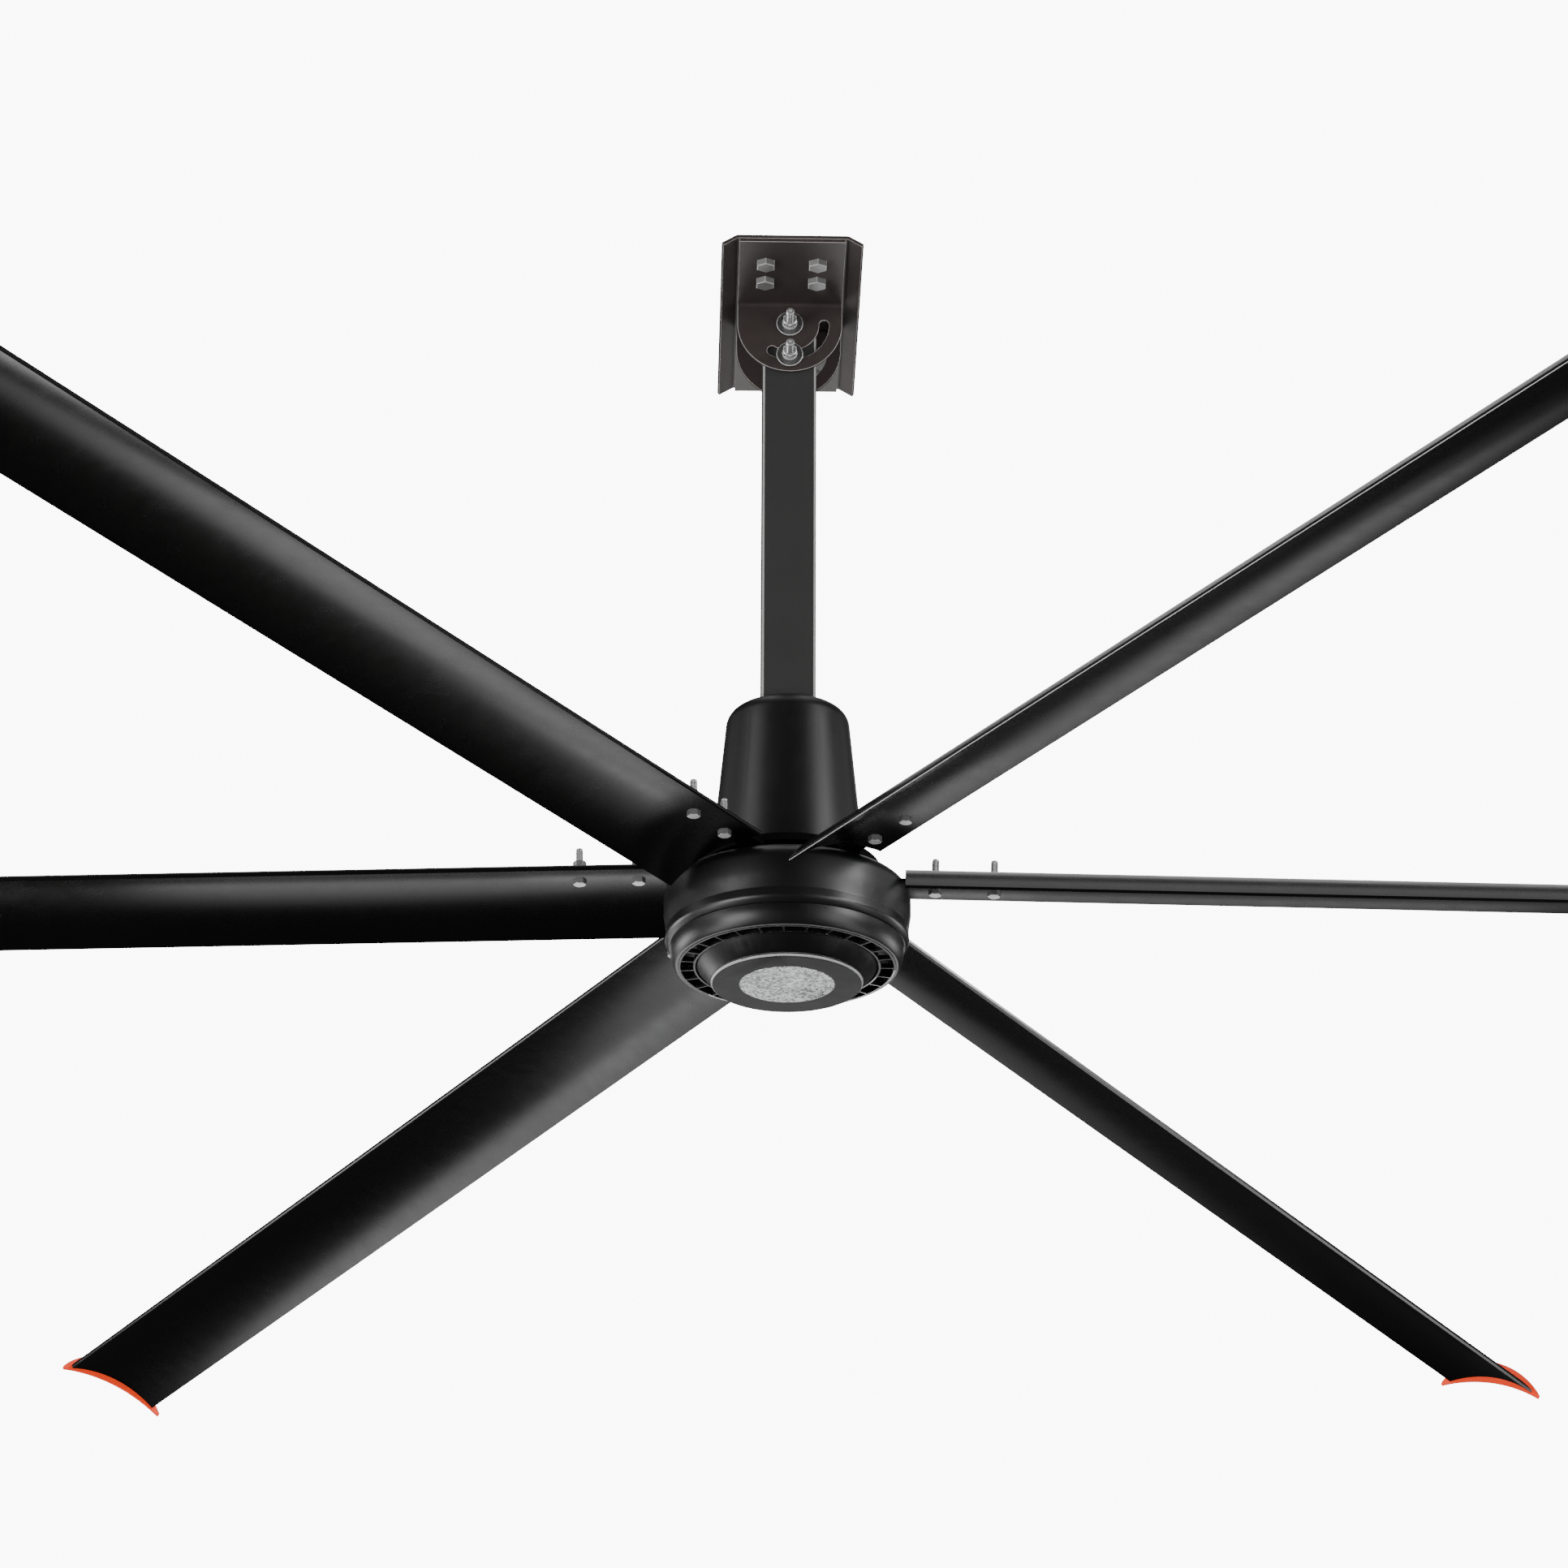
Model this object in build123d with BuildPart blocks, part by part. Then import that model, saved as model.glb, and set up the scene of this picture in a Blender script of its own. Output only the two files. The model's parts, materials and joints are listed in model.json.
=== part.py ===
from build123d import *
import os
from math import cos, radians, sin, sqrt, tan

# Sizes are in millimetres and angles in degrees, with +Z up. The origin is the middle of the ceiling
# channel's top face, and the fan hangs below it. A name that ends in rise is a height above the ring
# where the motor drum is widest.

# Ceiling channel, a steel plate folded down along both long sides
channel_length = 458
web_width = 154
channel_plate = 5
flange_run = 21
flange_drop = 12.5
channel_bend_radius = 5

# Ear brackets, two steel angles that hold the down rod between them
ear_width = 146
ear_plate = 5
ear_leg_setback = 1
ear_bend_radius = 5
ear_gap = 0.5
pivot_drop = 31.5
slot_radius = 48
slot_width = 14
slot_back_angle = -31
slot_front_angle = 90

# Bolts that carry the bracket on the roof beam, heads below and threads standing up
beam_bolt_diameter = 16
beam_thread_diameter = 14.7
beam_bolt_flats = 24
beam_bolt_head = 9
beam_bolt_stand = 26
beam_bolt_pitch_x = 72
beam_bolt_pitch_y = 54
beam_bolt_middle = 140
beam_hole_clearance = 0.5

# Pivot bolt and lock bolt, which cross both ears and the rod
cross_bolt_diameter = 12
cross_bolt_flats = 18
cross_bolt_head = 7.5
cross_nut_height = 10
cross_bolt_tail = 25
cross_washer_diameter = 37
cross_washer_thickness = 3
spring_washer_diameter = 21
spring_washer_thickness = 2.5
pivot_clearance = 0.1
sliding_gap = 0.2

# Down rod, a square steel tube on a round foot
tube_side = 75
tube_wall = 5
tube_corner_radius = 5
tube_top_radius = 34.5
tube_shoulder_drop = 9
foot_radius = 86
foot_thickness = 12
foot_hole_radius = 31
foot_bolt_circle = 68
foot_bolt_count = 6
foot_bolt_diameter = 12
foot_bolt_flats = 18
foot_bolt_head = 7.5

# Dome cover over the coupling
dome_bottom_radius = 104.5
dome_top_radius = 82.5
dome_height = 224.5
dome_shoulder_radius = 24
dome_wall = 2.5
dome_tube_gap = 0.4

# Motor drum, the outer rotor's housing
drum_ring_depth = 915.5
drum_radius = 167.5
drum_top_rise = 38
drum_shoulder_radius = 22
drum_taper_rise = -4
drum_waist_radius = 164
drum_waist_rise = -29
drum_lip_radius = 165.5
drum_lip_rise = -42
drum_bottom_rise = -50
drum_lip_step = 5.5
drum_lip_rounding = 8
drum_wall = 10
drum_top_wall = 8
boss_radius = 62
boss_hang = 11
boss_shoulder = 8

# Lower cup, the end shield and skirt below the drum
cup_top_radius = 158.5
cup_collar = 4
cup_bottom_radius = 150.5
cup_bottom_rise = -78
cup_wall = 4
cup_plate = 6
cup_hub_radius = 52
cup_hub_rise = -38
cup_hub_lip = 2
cup_window_radius = 104
cup_window_width = 24
cup_window_count = 8
cup_window_angle = 26
cup_screw_circle = 149.5
cup_screw_count = 8
cup_screw_diameter = 5
cup_screw_head_diameter = 8.5
cup_screw_head = 4

# Vent ring in the mouth of the cup
vent_outer_radius = 147.2
vent_rim_width = 3
vent_inner_radius = 124
vent_inner_rim_width = 2.6
vent_depth = 7
vent_rib_count = 27
vent_rib_width = 1.8
vent_proud = 1
vent_fit_gap = 0.2

# Shaft and bearings
shaft_bore_radius = 11
shaft_radius = 27
shaft_end_thread_radius = 15
shaft_top_thread_radius = 20
bearing_bore = 50
bearing_diameter = 90
bearing_width = 20
lower_bearing_bore = 40
lower_bearing_diameter = 80
lower_bearing_width = 18
bearing_fit = 0.05
bearing_chamfer = 1.1
shaft_nut_flats = 50
shaft_nut_height = 10
coupling_lip = 4.3
coupling_step = 9.5
coupling_gap = 3
coupling_fit = 0.3

# Stator and magnets inside the drum
stator_radius = 134.3
stator_stack = 40
stator_bottom_rise = -28
stator_slot_count = 18
stator_slot_depth = 33
stator_slot_width = 17
stator_window_radius = 64
stator_window_width = 34
stator_window_count = 6
stator_window_angle = 20
coil_head = 10
coil_clearance = 0.4
air_gap = 1.5
magnet_thickness = 8
magnet_count = 20
magnet_share = 0.92
yoke_fit = 0.2

# Hub plate and the arms that reach into the blades
hub_plate_radius = 122
hub_plate_thickness = 10
hub_plate_bore = 60
hub_screw_circle = 53.5
hub_screw_count = 8
hub_screw_diameter = 8
hub_screw_head_diameter = 15
arm_width = 28
arm_thickness = 7
arm_inner = 68
arm_bend = 125
arm_end_margin = 25
arm_corner_radius = 6
arm_bolt_spots = (84, 106)
arm_bolt_diameter = 10
arm_bolt_flats = 16
arm_bolt_head = 6.4
arm_fit = 0.2

# Blades, hollow cambered extrusions that droop slightly towards the tip
blade_count = 6
blade_rest_turn = -1.44
blade_droop = 1.29
blade_root = 159
blade_tip = 2192
chord = 147
chord_pitch = 17
nose_ahead = 52.3
nose_rise = 46.9
nose_height = 9
nose_bulge = 2.5
tail_thickness = 4
crest_place = 59
upper_crest = 33
lower_crest = 16
blade_wall = 2.5
blade_web_places = (52, 96)
blade_bolt_spots = (200, 280)
blade_bolt_ahead = 20
blade_bolt_diameter = 10
blade_bolt_flats = 16
blade_bolt_head = 8.5
blade_nut_height = 8
blade_bolt_tail = 19
blade_hole_clearance = 0.5

# Tip caps
cap_thickness = 4
cap_margin = 9
cap_reach = 15
cap_end_height = 7
cap_corner_radius = 2.4
cap_plug_depth = 22
cap_plug_gap = 0.3

# Lamp below the motor
lamp_running_gap = 1.5
lamp_plate = 3
lamp_plate_rise = -70
lamp_rim_height = 7
lamp_shell = 3
bezel_radius = 103
bezel_rise = -99
bezel_thickness = 5
bezel_edge_radius = 3.5
lens_radius = 64
lens_thickness = 3
lens_flange_radius = 69
lens_flange_thickness = 2.2
lens_fit = 0.3
heat_sink_radius = 60
heat_sink_bore = 32
heat_sink_height = 17
board_thickness = 1.6
board_radius = 58

# Places that follow from the sizes
arm_outer = blade_bolt_spots[-1] + arm_end_margin
web_under = -channel_plate
leg_under = web_under - ear_plate
leg_end = channel_length / 2 - ear_leg_setback
pivot_height = leg_under - pivot_drop
lock_height = pivot_height - slot_radius
ear_inner = tube_side / 2 + ear_gap
ear_outer = ear_inner + ear_plate
drum_ring = -drum_ring_depth
hub_section = Plane(origin=(0, 0, drum_ring), x_dir=(1, 0, 0), z_dir=(0, -1, 0))

os.makedirs("parts", exist_ok=True)
made = []


def keep(builder, name):
    """Labels a finished piece and writes it under its name."""
    builder.part.label = name
    export_step(builder.part, f"parts/{name}.step")
    made.append(name)


def level(rise):
    """Horizontal plane at a rise above the drum's widest ring."""
    return Plane.XY.offset(drum_ring + rise)


def arc_row(count, radius, angle):
    """Equal arcs round the axis, each the middle line of a curved slot."""
    return [CenterArc((0, 0), radius, 360 / count * turn - angle / 2, angle) for turn in range(count)]


def turned_ring(inner, outer, low, high):
    """Draws the half section of a plain ring in the hub section plane."""
    with Locations(((inner + outer) / 2, (low + high) / 2)):
        Rectangle(outer - inner, high - low)


# Ceiling channel
flange_angle = radians(Vector(flange_run, flange_drop).get_angle(Vector(flange_run, 0)))
web_half = web_width / 2
with BuildPart() as ceiling_channel:
    with BuildSketch(Plane.XZ):
        with BuildLine():
            tip_x = web_half + flange_run
            under_x = web_half - channel_plate * tan(flange_angle / 2)
            edge_x = tip_x - channel_plate * sin(flange_angle)
            edge_z = -flange_drop - channel_plate * cos(flange_angle)
            Polyline(
                (0, 0),
                (web_half, 0),
                (tip_x, -flange_drop),
                (edge_x, edge_z),
                (under_x, web_under),
                (0, web_under),
            )
            mirror(about=Plane.YZ)
        make_face()
    extrude(amount=channel_length / 2, both=True)
    bends = ceiling_channel.edges().filter_by(Axis.Y)
    fillet(bends.filter_by(lambda edge: edge.center().Z == web_under), channel_bend_radius)
    fillet(
        ceiling_channel.edges().filter_by(Axis.Y).group_by(Axis.Z)[-1],
        channel_bend_radius + channel_plate,
    )
    with BuildSketch(Plane.XY):
        with GridLocations(0, 2 * beam_bolt_middle, 1, 2):
            with GridLocations(beam_bolt_pitch_x, beam_bolt_pitch_y, 2, 2):
                Circle(beam_bolt_diameter / 2 + beam_hole_clearance)
    extrude(amount=-channel_plate, mode=Mode.SUBTRACT)
keep(ceiling_channel, "ceiling_channel")

# Ear brackets: a leg under the web, folded down to a round ear with a pivot hole and an arc slot
slot_sweep = slot_front_angle - slot_back_angle
slot_line = CenterArc((0, pivot_height), slot_radius, slot_back_angle - 90, slot_sweep)
with BuildPart() as front_ear:
    with BuildSketch(Plane.YZ):
        with BuildLine():
            Polyline(
                (-ear_inner, web_under),
                (-leg_end, web_under),
                (-leg_end, leg_under),
                (-ear_outer, leg_under),
                (-ear_outer, pivot_height - ear_width / 2),
                (-ear_inner, pivot_height - ear_width / 2),
                close=True,
            )
        make_face()
    extrude(amount=ear_width / 2, both=True)
    folds = front_ear.edges().filter_by(Axis.X)
    fillet(folds.sort_by_distance(Vector(0, -ear_outer, leg_under))[0], ear_bend_radius)
    folds = front_ear.edges().filter_by(Axis.X)
    fillet(folds.sort_by_distance(Vector(0, -ear_inner, web_under))[0], ear_bend_radius + ear_plate)
    with BuildSketch(Plane.XZ):
        with Locations((0, pivot_height)):
            Circle(ear_width / 2)
            Rectangle(ear_width, ear_width, align=(Align.CENTER, Align.MIN))
    extrude(amount=channel_length, both=True, mode=Mode.INTERSECT)
    with BuildSketch(Plane.XZ):
        with Locations((0, pivot_height)):
            Circle(cross_bolt_diameter / 2 + pivot_clearance)
        SlotArc(slot_line, slot_width)
    extrude(amount=channel_length, both=True, mode=Mode.SUBTRACT)
    with BuildSketch(Plane.XY.offset(web_under)):
        with Locations((0, -beam_bolt_middle)):
            with GridLocations(beam_bolt_pitch_x, beam_bolt_pitch_y, 2, 2):
                Circle(beam_bolt_diameter / 2 + beam_hole_clearance)
    extrude(amount=-ear_plate, mode=Mode.SUBTRACT)
keep(front_ear, "front_ear")

with BuildPart() as rear_ear:
    mirror(front_ear.part, about=Plane.XZ)
keep(rear_ear, "rear_ear")

# Eight hex bolts come up through the ear legs and the web. The thread that stands above for the beam
# is drawn as a plain stud at its pitch diameter.
with BuildPart() as beam_bolts:
    with BuildSketch(Plane.XY.offset(leg_under)):
        with GridLocations(0, 2 * beam_bolt_middle, 1, 2):
            with GridLocations(beam_bolt_pitch_x, beam_bolt_pitch_y, 2, 2):
                RegularPolygon(beam_bolt_flats / 2, side_count=6, major_radius=False)
    extrude(amount=-beam_bolt_head)
    with BuildSketch(Plane.XY.offset(leg_under)):
        with GridLocations(0, 2 * beam_bolt_middle, 1, 2):
            with GridLocations(beam_bolt_pitch_x, beam_bolt_pitch_y, 2, 2):
                Circle(beam_bolt_diameter / 2)
    extrude(amount=-leg_under)
    with BuildSketch(Plane.XY):
        with GridLocations(0, 2 * beam_bolt_middle, 1, 2):
            with GridLocations(beam_bolt_pitch_x, beam_bolt_pitch_y, 2, 2):
                Circle(beam_thread_diameter / 2)
    extrude(amount=beam_bolt_stand)
keep(beam_bolts, "beam_bolts")

# Pivot and lock: each a bolt from the back, big washers, a spring washer and a nut at the front.
# The pivot bolt stays with the ears, the lock bolt travels along the slots with the rod.
loose_bore = cross_bolt_diameter + 2 * pivot_clearance
for word, height, gap in (("pivot", pivot_height, 0), ("lock", lock_height, sliding_gap)):
    washer_face = ear_outer + gap
    head_face = washer_face + cross_washer_thickness
    nut_face = head_face + spring_washer_thickness
    with BuildPart() as bolt:
        with BuildSketch(Plane.XZ.offset(-head_face)):
            with Locations((0, height)):
                RegularPolygon(cross_bolt_flats / 2, side_count=6, major_radius=False)
        extrude(amount=-cross_bolt_head)
        with BuildSketch(Plane.XZ.offset(-head_face)):
            with Locations((0, height)):
                Circle(cross_bolt_diameter / 2)
        extrude(amount=head_face + nut_face + cross_nut_height + cross_bolt_tail)
    keep(bolt, f"{word}_bolt")

    with BuildPart() as nut:
        with BuildSketch(Plane.XZ.offset(nut_face)):
            with Locations((0, height)):
                RegularPolygon(cross_bolt_flats / 2, side_count=6, major_radius=False)
                Circle(loose_bore / 2, mode=Mode.SUBTRACT)
        extrude(amount=cross_nut_height)
    keep(nut, f"{word}_nut")

    with BuildPart() as washers:
        for face, thickness in (
            (washer_face, cross_washer_thickness),
            (-washer_face, -cross_washer_thickness),
        ):
            with BuildSketch(Plane.XZ.offset(face)):
                with Locations((0, height)):
                    Circle(cross_washer_diameter / 2)
                    Circle(loose_bore / 2, mode=Mode.SUBTRACT)
            extrude(amount=thickness)
    keep(washers, f"{word}_washers")

    with BuildPart() as spring_washer:
        with BuildSketch(Plane.XZ.offset(head_face)):
            with Locations((0, height)):
                Circle(spring_washer_diameter / 2)
                Circle(loose_bore / 2, mode=Mode.SUBTRACT)
        extrude(amount=spring_washer_thickness)
    keep(spring_washer, f"{word}_spring_washer")

# Heights of the stack between the blades and the rod, as rises
pitch = radians(chord_pitch)
droop = radians(blade_droop)


def chord_point(along, above):
    """Turns a place on the chord into one ahead of the blade's line and above the ring."""
    ahead = nose_ahead - along * cos(pitch) - above * sin(pitch)
    rise = nose_rise - along * sin(pitch) + above * cos(pitch)
    return ahead, rise


under_radius = ((chord / 2) ** 2 + lower_crest**2) / (2 * lower_crest)
under_ahead, under_rise = chord_point(chord / 2, lower_crest - under_radius)
front_drop = upper_crest - nose_height
front_radius = (crest_place**2 + front_drop**2) / (2 * front_drop)
front_rise = chord_point(crest_place, upper_crest - front_radius)[1]


def under_surface(ahead):
    """Height of the blade's underside above the ring plane, in the blade's own frame."""
    return under_rise + sqrt(under_radius**2 - (ahead - under_ahead) ** 2)


arm_low = under_rise + under_radius + blade_wall + arm_fit
arm_high = arm_low + arm_thickness


def drooped(along, above):
    """Turns a place in the drooping blade frame into one along and above in the level frame."""
    return along * cos(droop) + above * sin(droop), above * cos(droop) - along * sin(droop)


arm_bend_low = drooped(arm_bend, arm_low)
arm_bend_high = drooped(arm_bend, arm_high)
hub_plate_rise = arm_bend_high[1]
hub_plate_top = hub_plate_rise + hub_plate_thickness
coupling_low = hub_plate_top + coupling_gap
dome_seat = coupling_low + coupling_lip
coupling_top = dome_seat + coupling_step
foot_top = coupling_top + foot_thickness
dome_slope = (dome_bottom_radius - dome_top_radius) / dome_height

# Down rod: the tube's top is rounded and its shoulders cut back, so that it swings clear of the web
foot_level = drum_ring + foot_top
tube_half = tube_side / 2
with BuildPart() as downrod_tube:
    with BuildSketch(Plane.XY.offset(foot_level)):
        RectangleRounded(tube_side, tube_side, tube_corner_radius)
        bore_side = tube_side - 2 * tube_wall
        Rectangle(bore_side, bore_side, mode=Mode.SUBTRACT)
    extrude(amount=pivot_height + tube_top_radius - foot_level)
    with BuildSketch(Plane.XZ):
        with Locations((0, pivot_height)):
            Circle(tube_top_radius)
        with BuildLine():
            Polyline(
                (-tube_top_radius, pivot_height),
                (-tube_half, pivot_height - tube_shoulder_drop),
                (-tube_half, foot_level),
                (tube_half, foot_level),
                (tube_half, pivot_height - tube_shoulder_drop),
                (tube_top_radius, pivot_height),
                close=True,
            )
        make_face()
    extrude(amount=tube_side, both=True, mode=Mode.INTERSECT)
    with BuildSketch(Plane.XZ):
        with Locations((0, pivot_height), (0, lock_height)):
            Circle(cross_bolt_diameter / 2 + pivot_clearance)
    extrude(amount=tube_side, both=True, mode=Mode.SUBTRACT)
keep(downrod_tube, "downrod_tube")

with BuildPart() as tube_foot:
    with BuildSketch(level(coupling_top)):
        Circle(foot_radius)
        Circle(foot_hole_radius, mode=Mode.SUBTRACT)
        with PolarLocations(foot_bolt_circle, foot_bolt_count):
            Circle(foot_bolt_diameter / 2 + pivot_clearance, mode=Mode.SUBTRACT)
    extrude(amount=foot_thickness)
keep(tube_foot, "tube_foot")

# Coupling flange: its lip carries the dome, its bore sits on the shaft
dome_inner_radius = dome_bottom_radius - dome_wall - dome_slope * coupling_step
with BuildPart() as coupling_flange:
    with BuildSketch(hub_section):
        bore_radius = bearing_bore / 2 + bearing_fit
        turned_ring(bore_radius, dome_bottom_radius, coupling_low, dome_seat)
        turned_ring(bore_radius, dome_inner_radius - coupling_fit, dome_seat, coupling_top)
    revolve(axis=Axis.Z)
    with BuildSketch(level(coupling_top)):
        with PolarLocations(foot_bolt_circle, foot_bolt_count):
            Circle(foot_bolt_diameter / 2 + pivot_clearance)
    extrude(amount=coupling_low - coupling_top, mode=Mode.SUBTRACT)
keep(coupling_flange, "coupling_flange")

with BuildPart() as foot_bolts:
    with BuildSketch(level(foot_top)):
        with PolarLocations(foot_bolt_circle, foot_bolt_count):
            RegularPolygon(foot_bolt_flats / 2, side_count=6, major_radius=False)
    extrude(amount=foot_bolt_head)
    with BuildSketch(level(foot_top)):
        with PolarLocations(foot_bolt_circle, foot_bolt_count):
            Circle(foot_bolt_diameter / 2)
    extrude(amount=dome_seat - foot_top)
keep(foot_bolts, "foot_bolts")

# Dome cover: a thin tapered shell with a rounded shoulder and a square hole for the tube
dome_top = dome_seat + dome_height
with BuildPart() as dome_cover:
    with BuildSketch(hub_section):
        with BuildLine():
            Polyline(
                (0, dome_seat),
                (dome_bottom_radius, dome_seat),
                (dome_top_radius, dome_top),
                (0, dome_top),
                close=True,
            )
        outer_face = make_face()
        shoulder = outer_face.vertices().sort_by_distance(Vector(dome_top_radius, dome_top))[0]
        fillet(shoulder, dome_shoulder_radius)
        with BuildSketch(mode=Mode.PRIVATE) as dome_inside:
            with BuildLine():
                Polyline(
                    (0, dome_seat),
                    (dome_bottom_radius - dome_wall, dome_seat),
                    (dome_top_radius - dome_wall + dome_slope * dome_wall, dome_top - dome_wall),
                    (0, dome_top - dome_wall),
                    close=True,
                )
            make_face()
            corner = dome_inside.vertices().group_by(Axis.Y)[-1].sort_by(Axis.X)[-1]
            fillet(corner, dome_shoulder_radius - dome_wall)
        add(dome_inside.sketch, mode=Mode.SUBTRACT)
    revolve(axis=Axis.Z)
    with BuildSketch(level(dome_top)):
        hole_side = tube_side + 2 * dome_tube_gap
        RectangleRounded(hole_side, hole_side, tube_corner_radius + dome_tube_gap)
    extrude(amount=-dome_shoulder_radius, mode=Mode.SUBTRACT)
keep(dome_cover, "dome_cover")

# Shaft: hollow for the supply wires, stepped for the bearings, the flange and the lamp
bearing_floor = hub_plate_rise - bearing_width
cup_plate_low = drum_bottom_rise - cup_plate
lower_bearing_floor = cup_hub_rise - lower_bearing_width
lamp_nut_face = lamp_plate_rise - lamp_plate
with BuildPart() as stator_shaft:
    with BuildSketch(hub_section):
        thread_end = lamp_nut_face - shaft_nut_height
        thread_top = coupling_top + shaft_nut_height
        turned_ring(shaft_bore_radius, shaft_end_thread_radius, thread_end, lamp_plate_rise)
        turned_ring(shaft_bore_radius, lower_bearing_bore / 2, lamp_plate_rise, cup_hub_rise)
        turned_ring(shaft_bore_radius, shaft_radius, cup_hub_rise, bearing_floor)
        turned_ring(shaft_bore_radius, bearing_bore / 2, bearing_floor, coupling_top)
        turned_ring(shaft_bore_radius, shaft_top_thread_radius, coupling_top, thread_top)
    revolve(axis=Axis.Z)
keep(stator_shaft, "stator_shaft")

for name, face, height, thread in (
    ("shaft_top_nut", coupling_top, shaft_nut_height, shaft_top_thread_radius),
    ("lamp_nut", lamp_nut_face, -shaft_nut_height, shaft_end_thread_radius),
):
    with BuildPart() as shaft_nut:
        with BuildSketch(level(face)):
            RegularPolygon(shaft_nut_flats / 2, side_count=6, major_radius=False)
            Circle(thread + bearing_fit, mode=Mode.SUBTRACT)
        extrude(amount=height)
    keep(shaft_nut, name)

for name, floor, bore, diameter, width in (
    ("upper_bearing", bearing_floor, bearing_bore, bearing_diameter, bearing_width),
    ("lower_bearing", lower_bearing_floor, lower_bearing_bore, lower_bearing_diameter, lower_bearing_width),
):
    with BuildPart() as bearing:
        with BuildSketch(hub_section):
            turned_ring(bore / 2 + bearing_fit, diameter / 2 - bearing_fit, floor, floor + width)
        revolve(axis=Axis.Z)
        chamfer(bearing.edges().filter_by(GeomType.CIRCLE), bearing_chamfer)
    keep(bearing, name)

# Stator core: laminations with open slots outside and windows between hub and yoke
stator_top_rise = stator_bottom_rise + stator_stack
slot_middle = stator_radius - stator_slot_depth / 2
stator_windows = arc_row(stator_window_count, stator_window_radius, stator_window_angle)
with BuildPart() as stator_core:
    with BuildSketch(level(stator_bottom_rise)):
        Circle(stator_radius)
        Circle(shaft_radius + bearing_fit, mode=Mode.SUBTRACT)
        with PolarLocations(slot_middle, stator_slot_count):
            Rectangle(stator_slot_depth + air_gap, stator_slot_width, mode=Mode.SUBTRACT)
        for window in stator_windows:
            SlotArc(window, stator_window_width, mode=Mode.SUBTRACT)
    extrude(amount=stator_stack)
keep(stator_core, "stator_core")

# Windings: copper bars through the slots, joined by the coil heads above and below the core
slot_floor = stator_radius - stator_slot_depth - air_gap / 2
coil_outer = stator_radius - air_gap
with BuildPart() as stator_windings:
    for face, height in (
        (stator_top_rise + coil_clearance, coil_head),
        (stator_bottom_rise - coil_clearance, -coil_head),
    ):
        with BuildSketch(level(face)):
            Circle(coil_outer)
            Circle(slot_floor + coil_clearance, mode=Mode.SUBTRACT)
        extrude(amount=height)
    with BuildSketch(level(stator_bottom_rise - coil_clearance)):
        bar_depth = coil_outer - slot_floor - 4 * coil_clearance
        with PolarLocations((coil_outer + slot_floor) / 2, stator_slot_count):
            Rectangle(bar_depth, stator_slot_width - 2 * coil_clearance)
    extrude(amount=stator_stack + 2 * coil_clearance)
keep(stator_windings, "stator_windings")

# Magnets on a steel yoke ring inside the drum
magnet_inner = stator_radius + air_gap
magnet_outer = magnet_inner + magnet_thickness
drum_bore = drum_radius - drum_wall
with BuildPart() as rotor_magnets:
    with BuildSketch(level(stator_bottom_rise)):
        for turn in range(magnet_count):
            step = 360 / magnet_count
            with BuildSketch(mode=Mode.PRIVATE) as segment:
                with BuildLine():
                    start = step * turn
                    end = start + step * magnet_share
                    inner_arc = CenterArc((0, 0), magnet_inner, start, end - start)
                    outer_arc = CenterArc((0, 0), magnet_outer, start, end - start)
                    Line(inner_arc @ 0, outer_arc @ 0)
                    Line(inner_arc @ 1, outer_arc @ 1)
                make_face()
            add(segment.sketch)
    extrude(amount=stator_stack)
keep(rotor_magnets, "rotor_magnets")

yoke_top_rise = stator_top_rise + coil_clearance
with BuildPart() as rotor_yoke:
    with BuildSketch(hub_section):
        turned_ring(magnet_outer, drum_bore - yoke_fit, drum_bottom_rise, yoke_top_rise)
    revolve(axis=Axis.Z)
    with BuildSketch(level(drum_bottom_rise)):
        with PolarLocations(cup_screw_circle, cup_screw_count):
            Circle(cup_screw_diameter / 2)
    extrude(amount=2 * cup_plate, mode=Mode.SUBTRACT)
keep(rotor_yoke, "rotor_yoke")

# Motor drum: a cast bell with a rounded shoulder, a faint taper to a rounded lip, and a boss on top
boss_low = drum_top_rise - boss_hang
with BuildPart() as motor_drum:
    with BuildSketch(hub_section) as drum_section:
        with BuildLine():
            Polyline(
                (bearing_diameter / 2, hub_plate_rise),
                (boss_radius, hub_plate_rise),
                (boss_radius, drum_top_rise),
                (drum_radius, drum_top_rise),
                (drum_radius, drum_taper_rise),
                (drum_waist_radius, drum_waist_rise),
                (drum_lip_radius, drum_lip_rise),
                (drum_lip_radius - drum_lip_step, drum_bottom_rise),
                (drum_bore, drum_bottom_rise),
                (drum_bore, drum_top_rise - drum_top_wall),
                (boss_radius, drum_top_rise - drum_top_wall),
                (boss_radius, boss_low),
                (bearing_diameter / 2 - boss_shoulder, boss_low),
                (bearing_diameter / 2 - boss_shoulder, bearing_floor),
                (bearing_diameter / 2, bearing_floor),
                close=True,
            )
        make_face()
        corners = drum_section.vertices()
        fillet(corners.sort_by_distance(Vector(drum_radius, drum_top_rise))[0], drum_shoulder_radius)
        for rounded in ((drum_lip_radius, drum_lip_rise), (drum_waist_radius, drum_waist_rise)):
            corner = drum_section.vertices().sort_by_distance(Vector(*rounded))[0]
            fillet(corner, drum_lip_rounding)
    revolve(axis=Axis.Z)
keep(motor_drum, "motor_drum")

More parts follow.
